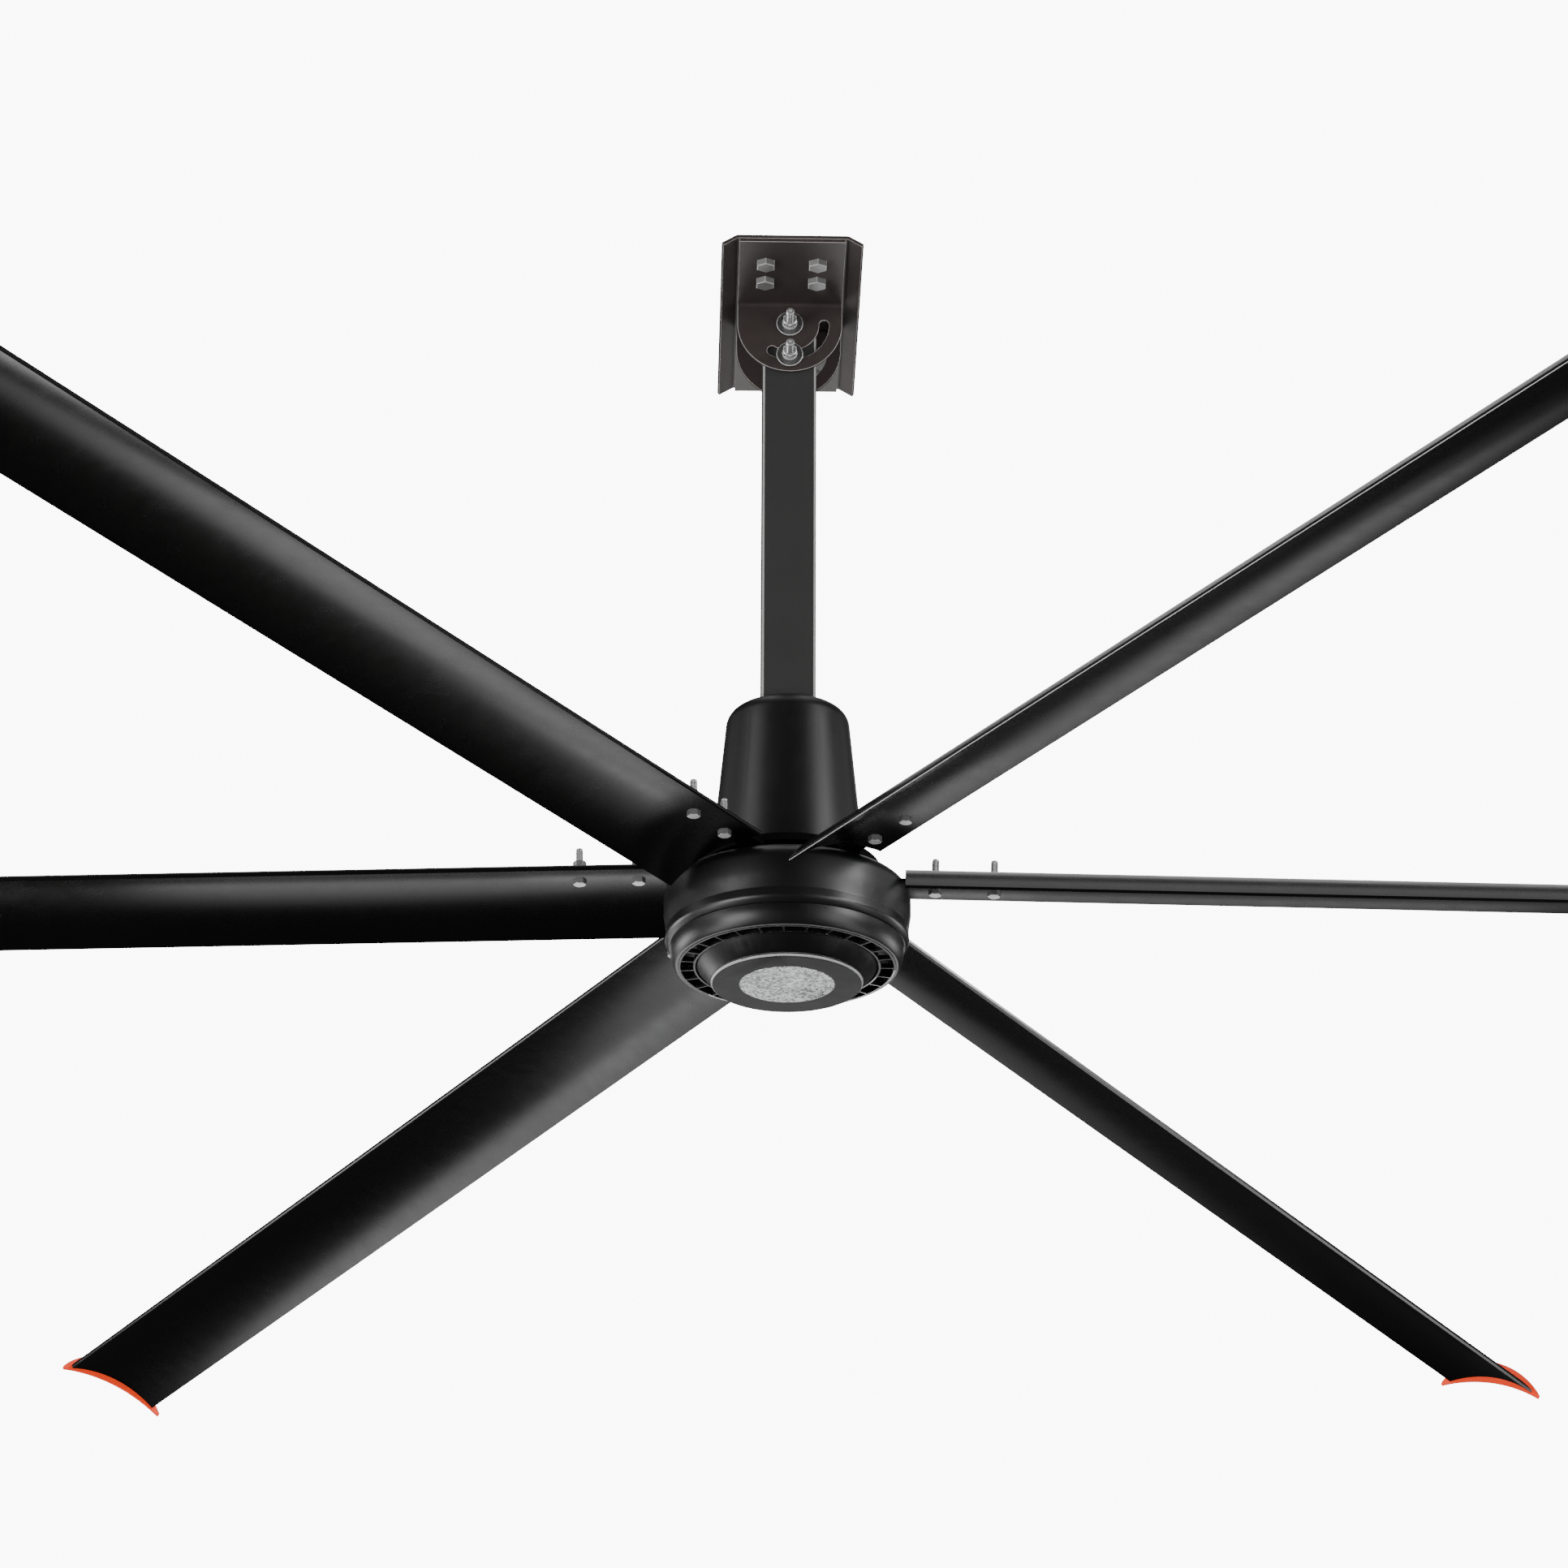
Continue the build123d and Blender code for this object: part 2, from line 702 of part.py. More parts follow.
# Lower cup: bearing hub, windowed plate and skirt in one casting
lower_pocket = lower_bearing_diameter / 2
cup_low = lower_bearing_floor - cup_hub_lip
cup_ledge_rise = cup_bottom_rise - vent_proud + vent_depth + vent_fit_gap
vent_seat_radius = vent_outer_radius + vent_fit_gap
cup_windows = arc_row(cup_window_count, cup_window_radius, cup_window_angle)
with BuildPart() as lower_cup:
    with BuildSketch(hub_section):
        with BuildLine():
            collar_low = drum_bottom_rise - cup_collar
            Line((cup_top_radius, drum_bottom_rise), (cup_top_radius, collar_low))
            TangentArc((cup_top_radius, collar_low), (cup_bottom_radius, cup_bottom_rise), tangent=(0, -1))
            Polyline(
                (cup_bottom_radius, cup_bottom_rise),
                (vent_seat_radius, cup_bottom_rise),
                (vent_seat_radius, cup_ledge_rise),
                (vent_seat_radius - cup_wall, cup_ledge_rise),
                (cup_top_radius - cup_wall, cup_plate_low - cup_wall),
                (cup_top_radius - cup_wall, cup_plate_low),
                (cup_hub_radius, cup_plate_low),
                (cup_hub_radius, cup_low),
                (lower_pocket - cup_wall, cup_low),
                (lower_pocket - cup_wall, lower_bearing_floor),
                (lower_pocket, lower_bearing_floor),
                (lower_pocket, cup_hub_rise),
                (cup_hub_radius, cup_hub_rise),
                (cup_hub_radius, drum_bottom_rise),
                (cup_top_radius, drum_bottom_rise),
            )
        make_face()
    revolve(axis=Axis.Z)
    with BuildSketch(level(drum_bottom_rise)):
        for window in cup_windows:
            SlotArc(window, cup_window_width)
        with PolarLocations(cup_screw_circle, cup_screw_count):
            Circle(cup_screw_diameter / 2 + pivot_clearance)
    extrude(amount=-cup_plate, mode=Mode.SUBTRACT)
keep(lower_cup, "lower_cup")

with BuildPart() as cup_screws:
    with BuildSketch(level(cup_plate_low)):
        with PolarLocations(cup_screw_circle, cup_screw_count):
            Circle(cup_screw_head_diameter / 2)
    extrude(amount=-cup_screw_head)
    with BuildSketch(level(cup_plate_low)):
        with PolarLocations(cup_screw_circle, cup_screw_count):
            Circle(cup_screw_diameter / 2 - pivot_clearance)
    extrude(amount=2 * cup_plate)
keep(cup_screws, "cup_screws")

# Vent ring: two rims joined by thin radial ribs, open between them
vent_low = cup_bottom_rise - vent_proud
vent_outer_inside = vent_outer_radius - vent_rim_width
vent_inner_outside = vent_inner_radius + vent_inner_rim_width
with BuildPart() as vent_ring:
    with BuildSketch(level(vent_low)):
        Circle(vent_outer_radius)
        Circle(vent_outer_inside, mode=Mode.SUBTRACT)
        with BuildSketch(mode=Mode.PRIVATE) as inner_rim:
            Circle(vent_inner_outside)
            Circle(vent_inner_radius, mode=Mode.SUBTRACT)
        add(inner_rim.sketch)
        rib_length = vent_outer_inside - vent_inner_outside + vent_rim_width
        with PolarLocations((vent_outer_inside + vent_inner_outside) / 2, vent_rib_count):
            Rectangle(rib_length, vent_rib_width)
    extrude(amount=vent_depth)
keep(vent_ring, "vent_ring")

# Hub plate: a steel disc screwed down on the drum's boss
with BuildPart() as hub_plate:
    with BuildSketch(level(hub_plate_rise)):
        Circle(hub_plate_radius)
        Circle(hub_plate_bore / 2, mode=Mode.SUBTRACT)
    extrude(amount=hub_plate_thickness)
    with Locations(level(hub_plate_top)):
        with PolarLocations(hub_screw_circle, hub_screw_count):
            CounterSinkHole(
                hub_screw_diameter / 2 + pivot_clearance,
                hub_screw_head_diameter / 2 + pivot_clearance,
            )
    with BuildSketch(level(hub_plate_rise)):
        for turn in range(blade_count):
            with PolarLocations(0, 1, blade_rest_turn + 360 / blade_count * turn):
                with Locations(*[(spot, blade_bolt_ahead) for spot in arm_bolt_spots]):
                    Circle(arm_bolt_diameter / 2)
    extrude(amount=hub_plate_thickness, mode=Mode.SUBTRACT)
keep(hub_plate, "hub_plate")

with BuildPart() as hub_screws:
    head_radius = hub_screw_head_diameter / 2
    shank_radius = hub_screw_diameter / 2
    with BuildSketch(hub_section):
        with BuildLine():
            Polyline(
                (hub_screw_circle, hub_plate_top),
                (hub_screw_circle + head_radius, hub_plate_top),
                (hub_screw_circle + shank_radius, hub_plate_top - head_radius + shank_radius),
                (hub_screw_circle + shank_radius, hub_plate_rise),
                (hub_screw_circle, hub_plate_rise),
                close=True,
            )
        make_face()
    revolve(axis=Axis((hub_screw_circle, 0, 0), (0, 0, 1)))
    first_screw = hub_screws.part
    for turn in range(1, hub_screw_count):
        add(first_screw.rotate(Axis.Z, 360 / hub_screw_count * turn))
keep(hub_screws, "hub_screws")


def blade_frame(index):
    """Plane at the ring's middle for one blade: X out along the drooping blade, Y ahead, Z up."""
    turn = blade_rest_turn + 360 / blade_count * index
    return level(0).rotated((0, blade_droop, 0)).rotated((0, 0, turn))


def chord_plane(index, along):
    """Section plane across one blade: X from nose to tail, Y up off the chord, Z towards the hub."""
    frame = blade_frame(index)
    origin = frame.from_local_coords(Vector(along, nose_ahead, nose_rise))
    to_tail = frame.y_dir * -cos(pitch) - frame.z_dir * sin(pitch)
    return Plane(origin=origin, x_dir=to_tail, z_dir=-frame.x_dir)


def draw_blade_outline():
    """Cambered section: round nose, highest a third of the way back, hollow underside, thin tail."""
    with BuildLine() as outline:
        crest = (crest_place, upper_crest)
        nose_top = (0, nose_height)
        tail_top = (chord, tail_thickness)
        tail_low = (chord, 0)
        TangentArc(crest, nose_top, tangent=(-1, 0))
        TangentArc(crest, tail_top, tangent=(1, 0))
        Line(tail_top, tail_low)
        ThreePointArc(tail_low, (chord / 2, lower_crest), (0, 0))
        ThreePointArc((0, 0), (-nose_bulge, nose_height / 2), nose_top)
    make_face(outline.edges())


def draw_chambers(gap=0):
    """The hollows of the section, parted by two webs."""
    draw_blade_outline()
    offset(amount=-blade_wall - gap, mode=Mode.REPLACE)
    with Locations(*[(place, upper_crest / 2) for place in blade_web_places]):
        Rectangle(blade_wall + 2 * gap, 2 * upper_crest, mode=Mode.SUBTRACT)


def draw_cap_outline():
    """The cap stands out all round the blade's section and runs past its nose and tail."""
    with BuildLine() as outline:
        crest = (crest_place, upper_crest + cap_margin)
        nose_low = (-cap_reach, -cap_margin)
        nose_high = (-cap_reach, cap_end_height - cap_margin)
        tail_low = (chord + cap_reach, -cap_margin)
        tail_high = (chord + cap_reach, cap_end_height - cap_margin)
        TangentArc(crest, nose_high, tangent=(-1, 0))
        TangentArc(crest, tail_high, tangent=(1, 0))
        Line(tail_high, tail_low)
        ThreePointArc(tail_low, (chord / 2, lower_crest - cap_margin), nose_low)
        Line(nose_low, nose_high)
    ends = make_face(outline.edges()).vertices().group_by(Axis.X)
    fillet(ends[0] + ends[-1], cap_corner_radius)


under_seat = min(
    under_surface(blade_bolt_ahead - blade_bolt_flats / 2),
    under_surface(blade_bolt_ahead + blade_bolt_flats / 2),
)
nut_seat = front_rise + front_radius
blade_bolt_places = [(spot, blade_bolt_ahead) for spot in blade_bolt_spots]
arm_bolt_places = [(spot, blade_bolt_ahead) for spot in arm_bolt_spots]

for index in range(blade_count):
    frame = blade_frame(index)
    flat_frame = level(0).rotated((0, 0, blade_rest_turn + 360 / blade_count * index))

    # Arm: a flat steel bar, level under the hub plate and drooping with the blade further out
    arm_origin = flat_frame.origin + flat_frame.y_dir * blade_bolt_ahead
    with BuildPart() as blade_arm:
        with BuildSketch(Plane(origin=arm_origin, x_dir=flat_frame.x_dir, z_dir=-flat_frame.y_dir)):
            with BuildLine():
                Polyline(
                    (arm_inner, arm_bend_low[1]),
                    arm_bend_low,
                    drooped(arm_outer, arm_low),
                    drooped(arm_outer, arm_high),
                    arm_bend_high,
                    (arm_inner, arm_bend_high[1]),
                    close=True,
                )
            make_face()
        extrude(amount=arm_width / 2, both=True)
        end_point = frame.from_local_coords(Vector(arm_outer, blade_bolt_ahead, arm_low))
        upright = blade_arm.edges().filter_by(lambda edge: abs(edge.length - arm_thickness) < arm_fit)
        fillet(upright.sort_by_distance(end_point)[:2], arm_corner_radius)
        with BuildSketch(frame.offset(arm_low)):
            with Locations(*blade_bolt_places):
                Circle(blade_bolt_diameter / 2 + pivot_clearance)
        extrude(amount=2 * arm_thickness, both=True, mode=Mode.SUBTRACT)
        with BuildSketch(flat_frame.offset(arm_bend_low[1])):
            with Locations(*arm_bolt_places):
                Circle(arm_bolt_diameter / 2 + pivot_clearance)
        extrude(amount=2 * arm_thickness, both=True, mode=Mode.SUBTRACT)
    keep(blade_arm, f"blade_arm_{index + 1}")

    # Blade: extruded from the tip plane to the root
    with BuildPart() as blade:
        with BuildSketch(chord_plane(index, blade_tip)):
            draw_blade_outline()
            with BuildSketch(mode=Mode.PRIVATE) as chambers:
                draw_chambers()
            add(chambers.sketch, mode=Mode.SUBTRACT)
        extrude(amount=blade_tip - blade_root)
        with BuildSketch(frame.offset(arm_low)):
            with Locations(*blade_bolt_places):
                Circle(blade_bolt_diameter / 2 + blade_hole_clearance)
        extrude(amount=upper_crest, both=True, mode=Mode.SUBTRACT)
    keep(blade, f"blade_{index + 1}")

    # Tip cap: an end plate with a plug in the middle chamber
    with BuildPart() as tip_cap:
        with BuildSketch(chord_plane(index, blade_tip)):
            draw_cap_outline()
        extrude(amount=-cap_thickness)
        with BuildSketch(chord_plane(index, blade_tip)):
            with BuildSketch(mode=Mode.PRIVATE) as plugs:
                draw_chambers(cap_plug_gap)
            add(plugs.sketch.faces().sort_by(Axis.X)[1])
        extrude(amount=cap_plug_depth)
    keep(tip_cap, f"tip_cap_{index + 1}")

# Fastenings of the arms and blades, two of each for every blade
with BuildPart() as arm_bolts:
    for index in range(blade_count):
        flat_frame = level(arm_bend_low[1]).rotated((0, 0, blade_rest_turn + 360 / blade_count * index))
        with BuildSketch(flat_frame):
            with Locations(*arm_bolt_places):
                RegularPolygon(arm_bolt_flats / 2, side_count=6, major_radius=False)
        extrude(amount=-arm_bolt_head)
        with BuildSketch(flat_frame):
            with Locations(*arm_bolt_places):
                Circle(arm_bolt_diameter / 2 - pivot_clearance)
        extrude(amount=arm_thickness + hub_plate_thickness)
keep(arm_bolts, "arm_bolts")

with BuildPart() as blade_bolts:
    for index in range(blade_count):
        frame = blade_frame(index).offset(under_seat)
        with BuildSketch(frame):
            with Locations(*blade_bolt_places):
                RegularPolygon(blade_bolt_flats / 2, side_count=6, major_radius=False)
        extrude(amount=-blade_bolt_head)
        with BuildSketch(frame):
            with Locations(*blade_bolt_places):
                Circle(blade_bolt_diameter / 2)
        extrude(amount=nut_seat - under_seat + blade_nut_height + blade_bolt_tail)
keep(blade_bolts, "blade_bolts")

with BuildPart() as blade_nuts:
    for index in range(blade_count):
        with BuildSketch(blade_frame(index).offset(nut_seat)):
            with Locations(*blade_bolt_places):
                RegularPolygon(blade_bolt_flats / 2, side_count=6, major_radius=False)
                Circle(blade_bolt_diameter / 2 + pivot_clearance, mode=Mode.SUBTRACT)
        extrude(amount=blade_nut_height)
keep(blade_nuts, "blade_nuts")

# Lamp: a dished housing under the motor, closed by a bezel and a lens
dish_radius = vent_inner_radius - lamp_running_gap
dish_rim_low = lamp_plate_rise - lamp_rim_height
with BuildPart() as lamp_housing:
    with BuildSketch(hub_section):
        with BuildLine():
            Polyline(
                (shaft_end_thread_radius + bearing_fit, lamp_plate_rise),
                (dish_radius, lamp_plate_rise),
                (dish_radius, dish_rim_low),
                (bezel_radius, bezel_rise),
                (bezel_radius - lamp_shell, bezel_rise),
                (dish_radius - lamp_shell, dish_rim_low),
                (dish_radius - lamp_shell, lamp_nut_face),
                (shaft_end_thread_radius + bearing_fit, lamp_nut_face),
                close=True,
            )
        make_face()
    revolve(axis=Axis.Z)
keep(lamp_housing, "lamp_housing")

bezel_low = bezel_rise - bezel_thickness
lens_seat = bezel_low + lens_thickness
with BuildPart() as lamp_bezel:
    with BuildSketch(hub_section):
        turned_ring(lens_radius + lens_fit, bezel_radius, bezel_low, lens_seat)
        turned_ring(lens_flange_radius + lens_fit, bezel_radius, lens_seat, bezel_rise)
    revolve(axis=Axis.Z)
    fillet(lamp_bezel.edges().group_by(Axis.Z)[0].sort_by(SortBy.RADIUS)[-1], bezel_edge_radius)
keep(lamp_bezel, "lamp_bezel")

with BuildPart() as lamp_lens:
    with BuildSketch(hub_section):
        turned_ring(0, lens_radius, bezel_low, lens_seat)
        turned_ring(0, lens_flange_radius, lens_seat, lens_seat + lens_flange_thickness)
    revolve(axis=Axis.Z)
keep(lamp_lens, "lamp_lens")

heat_sink_low = lamp_nut_face - heat_sink_height
with BuildPart() as heat_sink:
    with BuildSketch(hub_section):
        turned_ring(heat_sink_bore, heat_sink_radius, heat_sink_low, lamp_nut_face)
    revolve(axis=Axis.Z)
keep(heat_sink, "heat_sink")

with BuildPart() as led_board:
    with BuildSketch(level(heat_sink_low)):
        Circle(board_radius)
    extrude(amount=-board_thickness)
keep(led_board, "led_board")

print(len(made), "pieces")
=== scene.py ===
import json
import math

import bmesh
import bpy
from mathutils import Matrix, Vector

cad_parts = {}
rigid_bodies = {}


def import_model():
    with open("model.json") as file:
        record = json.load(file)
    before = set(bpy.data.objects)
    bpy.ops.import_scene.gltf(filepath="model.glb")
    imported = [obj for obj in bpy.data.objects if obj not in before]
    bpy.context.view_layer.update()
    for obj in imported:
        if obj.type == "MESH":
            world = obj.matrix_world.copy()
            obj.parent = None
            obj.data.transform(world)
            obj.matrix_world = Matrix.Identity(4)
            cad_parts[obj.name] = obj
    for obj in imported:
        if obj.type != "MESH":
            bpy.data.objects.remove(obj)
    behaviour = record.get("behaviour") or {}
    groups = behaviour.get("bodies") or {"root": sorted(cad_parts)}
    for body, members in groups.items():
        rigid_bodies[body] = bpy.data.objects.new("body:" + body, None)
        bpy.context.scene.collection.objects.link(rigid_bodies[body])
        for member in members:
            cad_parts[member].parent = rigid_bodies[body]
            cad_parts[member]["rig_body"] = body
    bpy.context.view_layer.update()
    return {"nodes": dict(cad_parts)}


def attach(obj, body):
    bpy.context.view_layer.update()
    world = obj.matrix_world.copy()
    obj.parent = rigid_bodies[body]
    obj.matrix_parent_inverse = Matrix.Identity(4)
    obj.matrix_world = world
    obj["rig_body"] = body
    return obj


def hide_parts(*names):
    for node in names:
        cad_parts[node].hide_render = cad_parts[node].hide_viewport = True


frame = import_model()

# Ceiling channel
# A steel plate folded down along both long sides and powder coated in brownish black. Its folds and
# cut edges are rounded and painted pale, a painted highlight for the light that they catch.


def fresh_finish(name):
    """A new material, with its shader and the coordinates of the piece that it lies on."""
    material = bpy.data.materials.new(name)
    material.use_nodes = True
    nodes = material.node_tree.nodes
    place = nodes.new("ShaderNodeTexCoord")
    return material, nodes["Principled BSDF"], place.outputs["Object"]


def mottling(material, place, scale, detail):
    """A cloudy pattern over the piece."""
    cloud = material.node_tree.nodes.new("ShaderNodeTexNoise")
    cloud.inputs["Scale"].default_value = scale
    cloud.inputs["Detail"].default_value = detail
    material.node_tree.links.new(place, cloud.inputs["Vector"])
    return cloud.outputs["Fac"]


def tint_by(pattern, material, colour, other_colour):
    """Lets a material's colour drift between two by a pattern."""
    nodes = material.node_tree.nodes
    links = material.node_tree.links
    drift = nodes.new("ShaderNodeMix")
    drift.data_type = "RGBA"
    drift.inputs["A"].default_value = (*colour, 1.0)
    drift.inputs["B"].default_value = (*other_colour, 1.0)
    links.new(pattern, drift.inputs["Factor"])
    links.new(drift.outputs["Result"], nodes["Principled BSDF"].inputs["Base Color"])


def dull_by(pattern, material, glossiest, dullest):
    """Lets a material's roughness drift between two limits by a pattern."""
    nodes = material.node_tree.nodes
    links = material.node_tree.links
    gloss = nodes.new("ShaderNodeMapRange")
    gloss.inputs["To Min"].default_value = glossiest
    gloss.inputs["To Max"].default_value = dullest
    links.new(pattern, gloss.inputs["Value"])
    links.new(gloss.outputs["Result"], nodes["Principled BSDF"].inputs["Roughness"])


def emboss_by(pattern, material, strength, depth, under=None):
    """Gives a material fine relief by a pattern, over the relief named under where there is one."""
    nodes = material.node_tree.nodes
    links = material.node_tree.links
    relief = nodes.new("ShaderNodeBump")
    relief.inputs["Strength"].default_value = strength
    relief.inputs["Distance"].default_value = depth
    links.new(pattern, relief.inputs["Height"])
    if under:
        links.new(under.outputs["Normal"], relief.inputs["Normal"])
    links.new(relief.outputs["Normal"], nodes["Principled BSDF"].inputs["Normal"])


def powder_coat(name, colour, cloud_colour, roughness, peel_depth, gleam=0.25):
    """Baked powder: a faint cloud in the colour, and the fine ripple of orange peel in the gloss."""
    material, shader, place = fresh_finish(name)
    shader.inputs["Specular IOR Level"].default_value = gleam
    cloud = mottling(material, place, scale=9.0, detail=4.0)
    tint_by(cloud, material, colour, cloud_colour)
    handling = mottling(material, place, scale=34.0, detail=5.0)
    gloss_drift = 0.05
    dull_by(handling, material, roughness - gloss_drift, roughness + gloss_drift)
    peel = mottling(material, place, scale=620.0, detail=1.5)
    emboss_by(peel, material, strength=0.35, depth=peel_depth)
    return material


weld_gap = 2e-6
flat_limit = math.radians(0.5)
sharp_limit = math.radians(32)
facet_limit = math.radians(19)


def eased(node, coat, edge_coat, width, sharp=sharp_limit, shines=None):
    """Stands for a CAD piece with its sharp edges rounded. The rounded strips are painted apart, and so
    are the faces that the test named shines accepts."""
    source = frame["nodes"][node]
    mesh = bmesh.new()
    mesh.from_mesh(source.data)
    bmesh.ops.remove_doubles(mesh, verts=mesh.verts, dist=weld_gap)
    bmesh.ops.dissolve_limit(mesh, angle_limit=flat_limit, verts=mesh.verts, edges=mesh.edges)
    data = bpy.data.meshes.new(f"{node}_eased")
    mesh.to_mesh(data)
    mesh.free()
    data.materials.clear()
    data.materials.append(coat)
    data.materials.append(edge_coat)
    for face in data.polygons:
        face.material_index = 1 if shines and shines(face) else 0
        face.use_smooth = True
    piece = bpy.data.objects.new(f"{node}_eased", data)
    bpy.context.scene.collection.objects.link(piece)
    rounding = piece.modifiers.new("rounding", "BEVEL")
    rounding.width = width
    rounding.segments = 2
    rounding.limit_method = "ANGLE"
    rounding.angle_limit = sharp
    rounding.material = 1
    depsgraph = bpy.context.evaluated_depsgraph_get()
    rounded = bpy.data.meshes.new_from_object(piece.evaluated_get(depsgraph))
    rounded.set_sharp_from_angle(angle=facet_limit)
    piece.modifiers.clear()
    piece.data = rounded
    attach(piece, source["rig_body"])
    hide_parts(node)
    return piece


bracket_coat = powder_coat(
    "bracket_coat",
    colour=(0.034, 0.0275, 0.026),
    cloud_colour=(0.048, 0.0385, 0.037),
    roughness=0.42,
    peel_depth=0.00004,
)
# Pale paint for the plates' rounded edges: a painted highlight.
bracket_edge_highlight = powder_coat(
    "bracket_edge_highlight",
    colour=(0.50, 0.48, 0.46),
    cloud_colour=(0.62, 0.60, 0.58),
    roughness=0.38,
    peel_depth=0.00002,
)
plate_easing = 0.0011
eased("ceiling_channel", bracket_coat, bracket_edge_highlight, plate_easing)

# Ear brackets
# Two steel angles cut from plate, folded and coated with the channel. Each hangs from its leg, and its
# round ear carries the pivot bolt and the arc slot that the lock bolt travels in.
for ear in ("front_ear", "rear_ear"):
    eased(ear, bracket_coat, bracket_edge_highlight, plate_easing)

# Beam bolts
# Bought hex bolts in bright zinc, heads below and threads standing up through the channel for the
# building's own nuts. Their forged heads have corners painted pale, a painted highlight; the thread is
# rolled.


def bright_metal(name, colour, roughness, scratch_scale, metal_share=1.0):
    """Plated or polished metal: bright, with fine directionless scratches and patches of dulling."""
    material, shader, place = fresh_finish(name)
    shader.inputs["Metallic"].default_value = metal_share
    patches = mottling(material, place, scale=90.0, detail=6.0)
    dulled_share = 0.72
    tint_by(patches, material, [dulled_share * part for part in colour], colour)
    rubbed_gain = 0.03
    dulled_loss = 0.05
    dull_by(patches, material, roughness - rubbed_gain, roughness + dulled_loss)
    scratches = mottling(material, place, scale=scratch_scale, detail=3.0)
    emboss_by(scratches, material, strength=0.06, depth=0.00002)
    return material


def grey(value):
    """A colour with no hue."""
    return (value, value, value)


def solids(node):
    """The separate solids of a CAD node, each as a list of its corner points."""
    data = frame["nodes"][node].data
    mesh = bmesh.new()
    mesh.from_mesh(data)
    bmesh.ops.remove_doubles(mesh, verts=mesh.verts, dist=weld_gap)
    found = []
    waiting = set(mesh.verts)
    while waiting:
        reached = {waiting.pop()}
        edge_of_search = set(reached)
        while edge_of_search:
            beside = {edge.other_vert(vert) for vert in edge_of_search for edge in vert.link_edges}
            edge_of_search = beside - reached
            reached |= edge_of_search
        waiting -= reached
        found.append([vert.co.copy() for vert in mesh.verts if vert in reached])
    mesh.free()
    digits = 4
    return sorted(found, key=lambda points: tuple(round(value, digits) for value in points_middle(points)))


def points_middle(points):
    """Middle of a list of points."""
    return sum(points, Vector()) / len(points)


def end_middles(points, towards):
    """Middles of the two end faces of a straight solid, the far one lying towards a direction."""
    face_depth = 0.001
    reach = [point.dot(towards) for point in points]
    near = [point for point, value in zip(points, reach) if value < min(reach) + face_depth]
    far = [point for point, value in zip(points, reach) if value > max(reach) - face_depth]
    return points_middle(near), points_middle(far)


def stand(start, axis):
    """Matrix that stands a piece made along +Z on a start point, along an axis."""
    return Matrix.Translation(start) @ axis.to_track_quat("Z", "Y").to_matrix().to_4x4()


turned_facet_limit = math.radians(28)


def join_pieces(name, meshes, finish, highlight_finish, node):
    """Joins finished meshes into one piece that stands for a CAD node."""
    joined = bmesh.new()
    for mesh in meshes:
        scrap = bpy.data.meshes.new("scrap")
        mesh.to_mesh(scrap)
        joined.from_mesh(scrap)
        bpy.data.meshes.remove(scrap)
        mesh.free()
    data = bpy.data.meshes.new(name)
    joined.to_mesh(data)
    joined.free()
    data.materials.append(finish)
    data.materials.append(highlight_finish)
    data.shade_smooth()
    data.set_sharp_from_angle(angle=turned_facet_limit)
    piece = bpy.data.objects.new(name, data)
    bpy.context.scene.collection.objects.link(piece)
    body = frame["nodes"][node]["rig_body"]
    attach(piece, body)
    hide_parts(node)
    return piece


# Degrees after each corner of a hexagon: a narrow strip on both sides of the corner, then even steps.
corner_strip = 1.6
corner_steps = (-corner_strip, 0, corner_strip, *range(6, 60, 6))
hexagon_turns = [math.radians(30 + 60 * corner + step) for corner in range(6) for step in corner_steps]
chamfer_slope = math.tan(math.radians(30))


def hexagon_ring(mesh, flats, height, crown_radius=None, lift=0):
    """A ring of points on a hexagon's wall, moved towards its middle height where the chamfer cuts it."""
    ring = []
    for turn in hexagon_turns:
        from_flat = (turn + math.pi / 6) % (math.pi / 3) - math.pi / 6
        reach = flats / 2 / math.cos(from_flat)
        fall = 0.0
        if crown_radius:
            fall = max(0.0, reach - crown_radius) * chamfer_slope
        ring.append(mesh.verts.new((reach * math.cos(turn), reach * math.sin(turn), height + lift * fall)))
    return ring


def circle_ring(mesh, radius, height):
    """A ring of points on a circle, in step with the hexagon's."""
    places = [(radius * math.cos(turn), radius * math.sin(turn), height) for turn in hexagon_turns]
    return [mesh.verts.new(place) for place in places]


def skin(mesh, rings, rims):
    """Faces between rings in order. The bands in rims are painted pale all round, a painted highlight."""
    for band, (lower, upper) in enumerate(zip(rings, rings[1:])):
        count = len(lower)
        for step in range(count):
            after = (step + 1) % count
            face = mesh.faces.new((lower[step], lower[after], upper[after], upper[step]))
            face.material_index = 1 if band in rims else 0


upright_slope = 0.1
widest_strip = 2.0


def paint_corner_highlights(mesh):
    """Paints the narrow strips on both sides of a hexagon's upright corners pale, a painted highlight."""
    mesh.faces.ensure_lookup_table()
    for face in mesh.faces:
        across = {round(math.degrees(math.atan2(vert.co.y, vert.co.x)), 1) for vert in face.verts}
        if len(face.verts) == 4 and len(across) == 2 and abs(face.normal.z) < upright_slope:
            if abs(max(across) - min(across)) < widest_strip:
                face.material_index = 1


# Shares of the width across flats.
crown_share = 0.475
forged_face_share = 0.92
forged_rounding_share = 0.03
shank_hole_share = 0.3


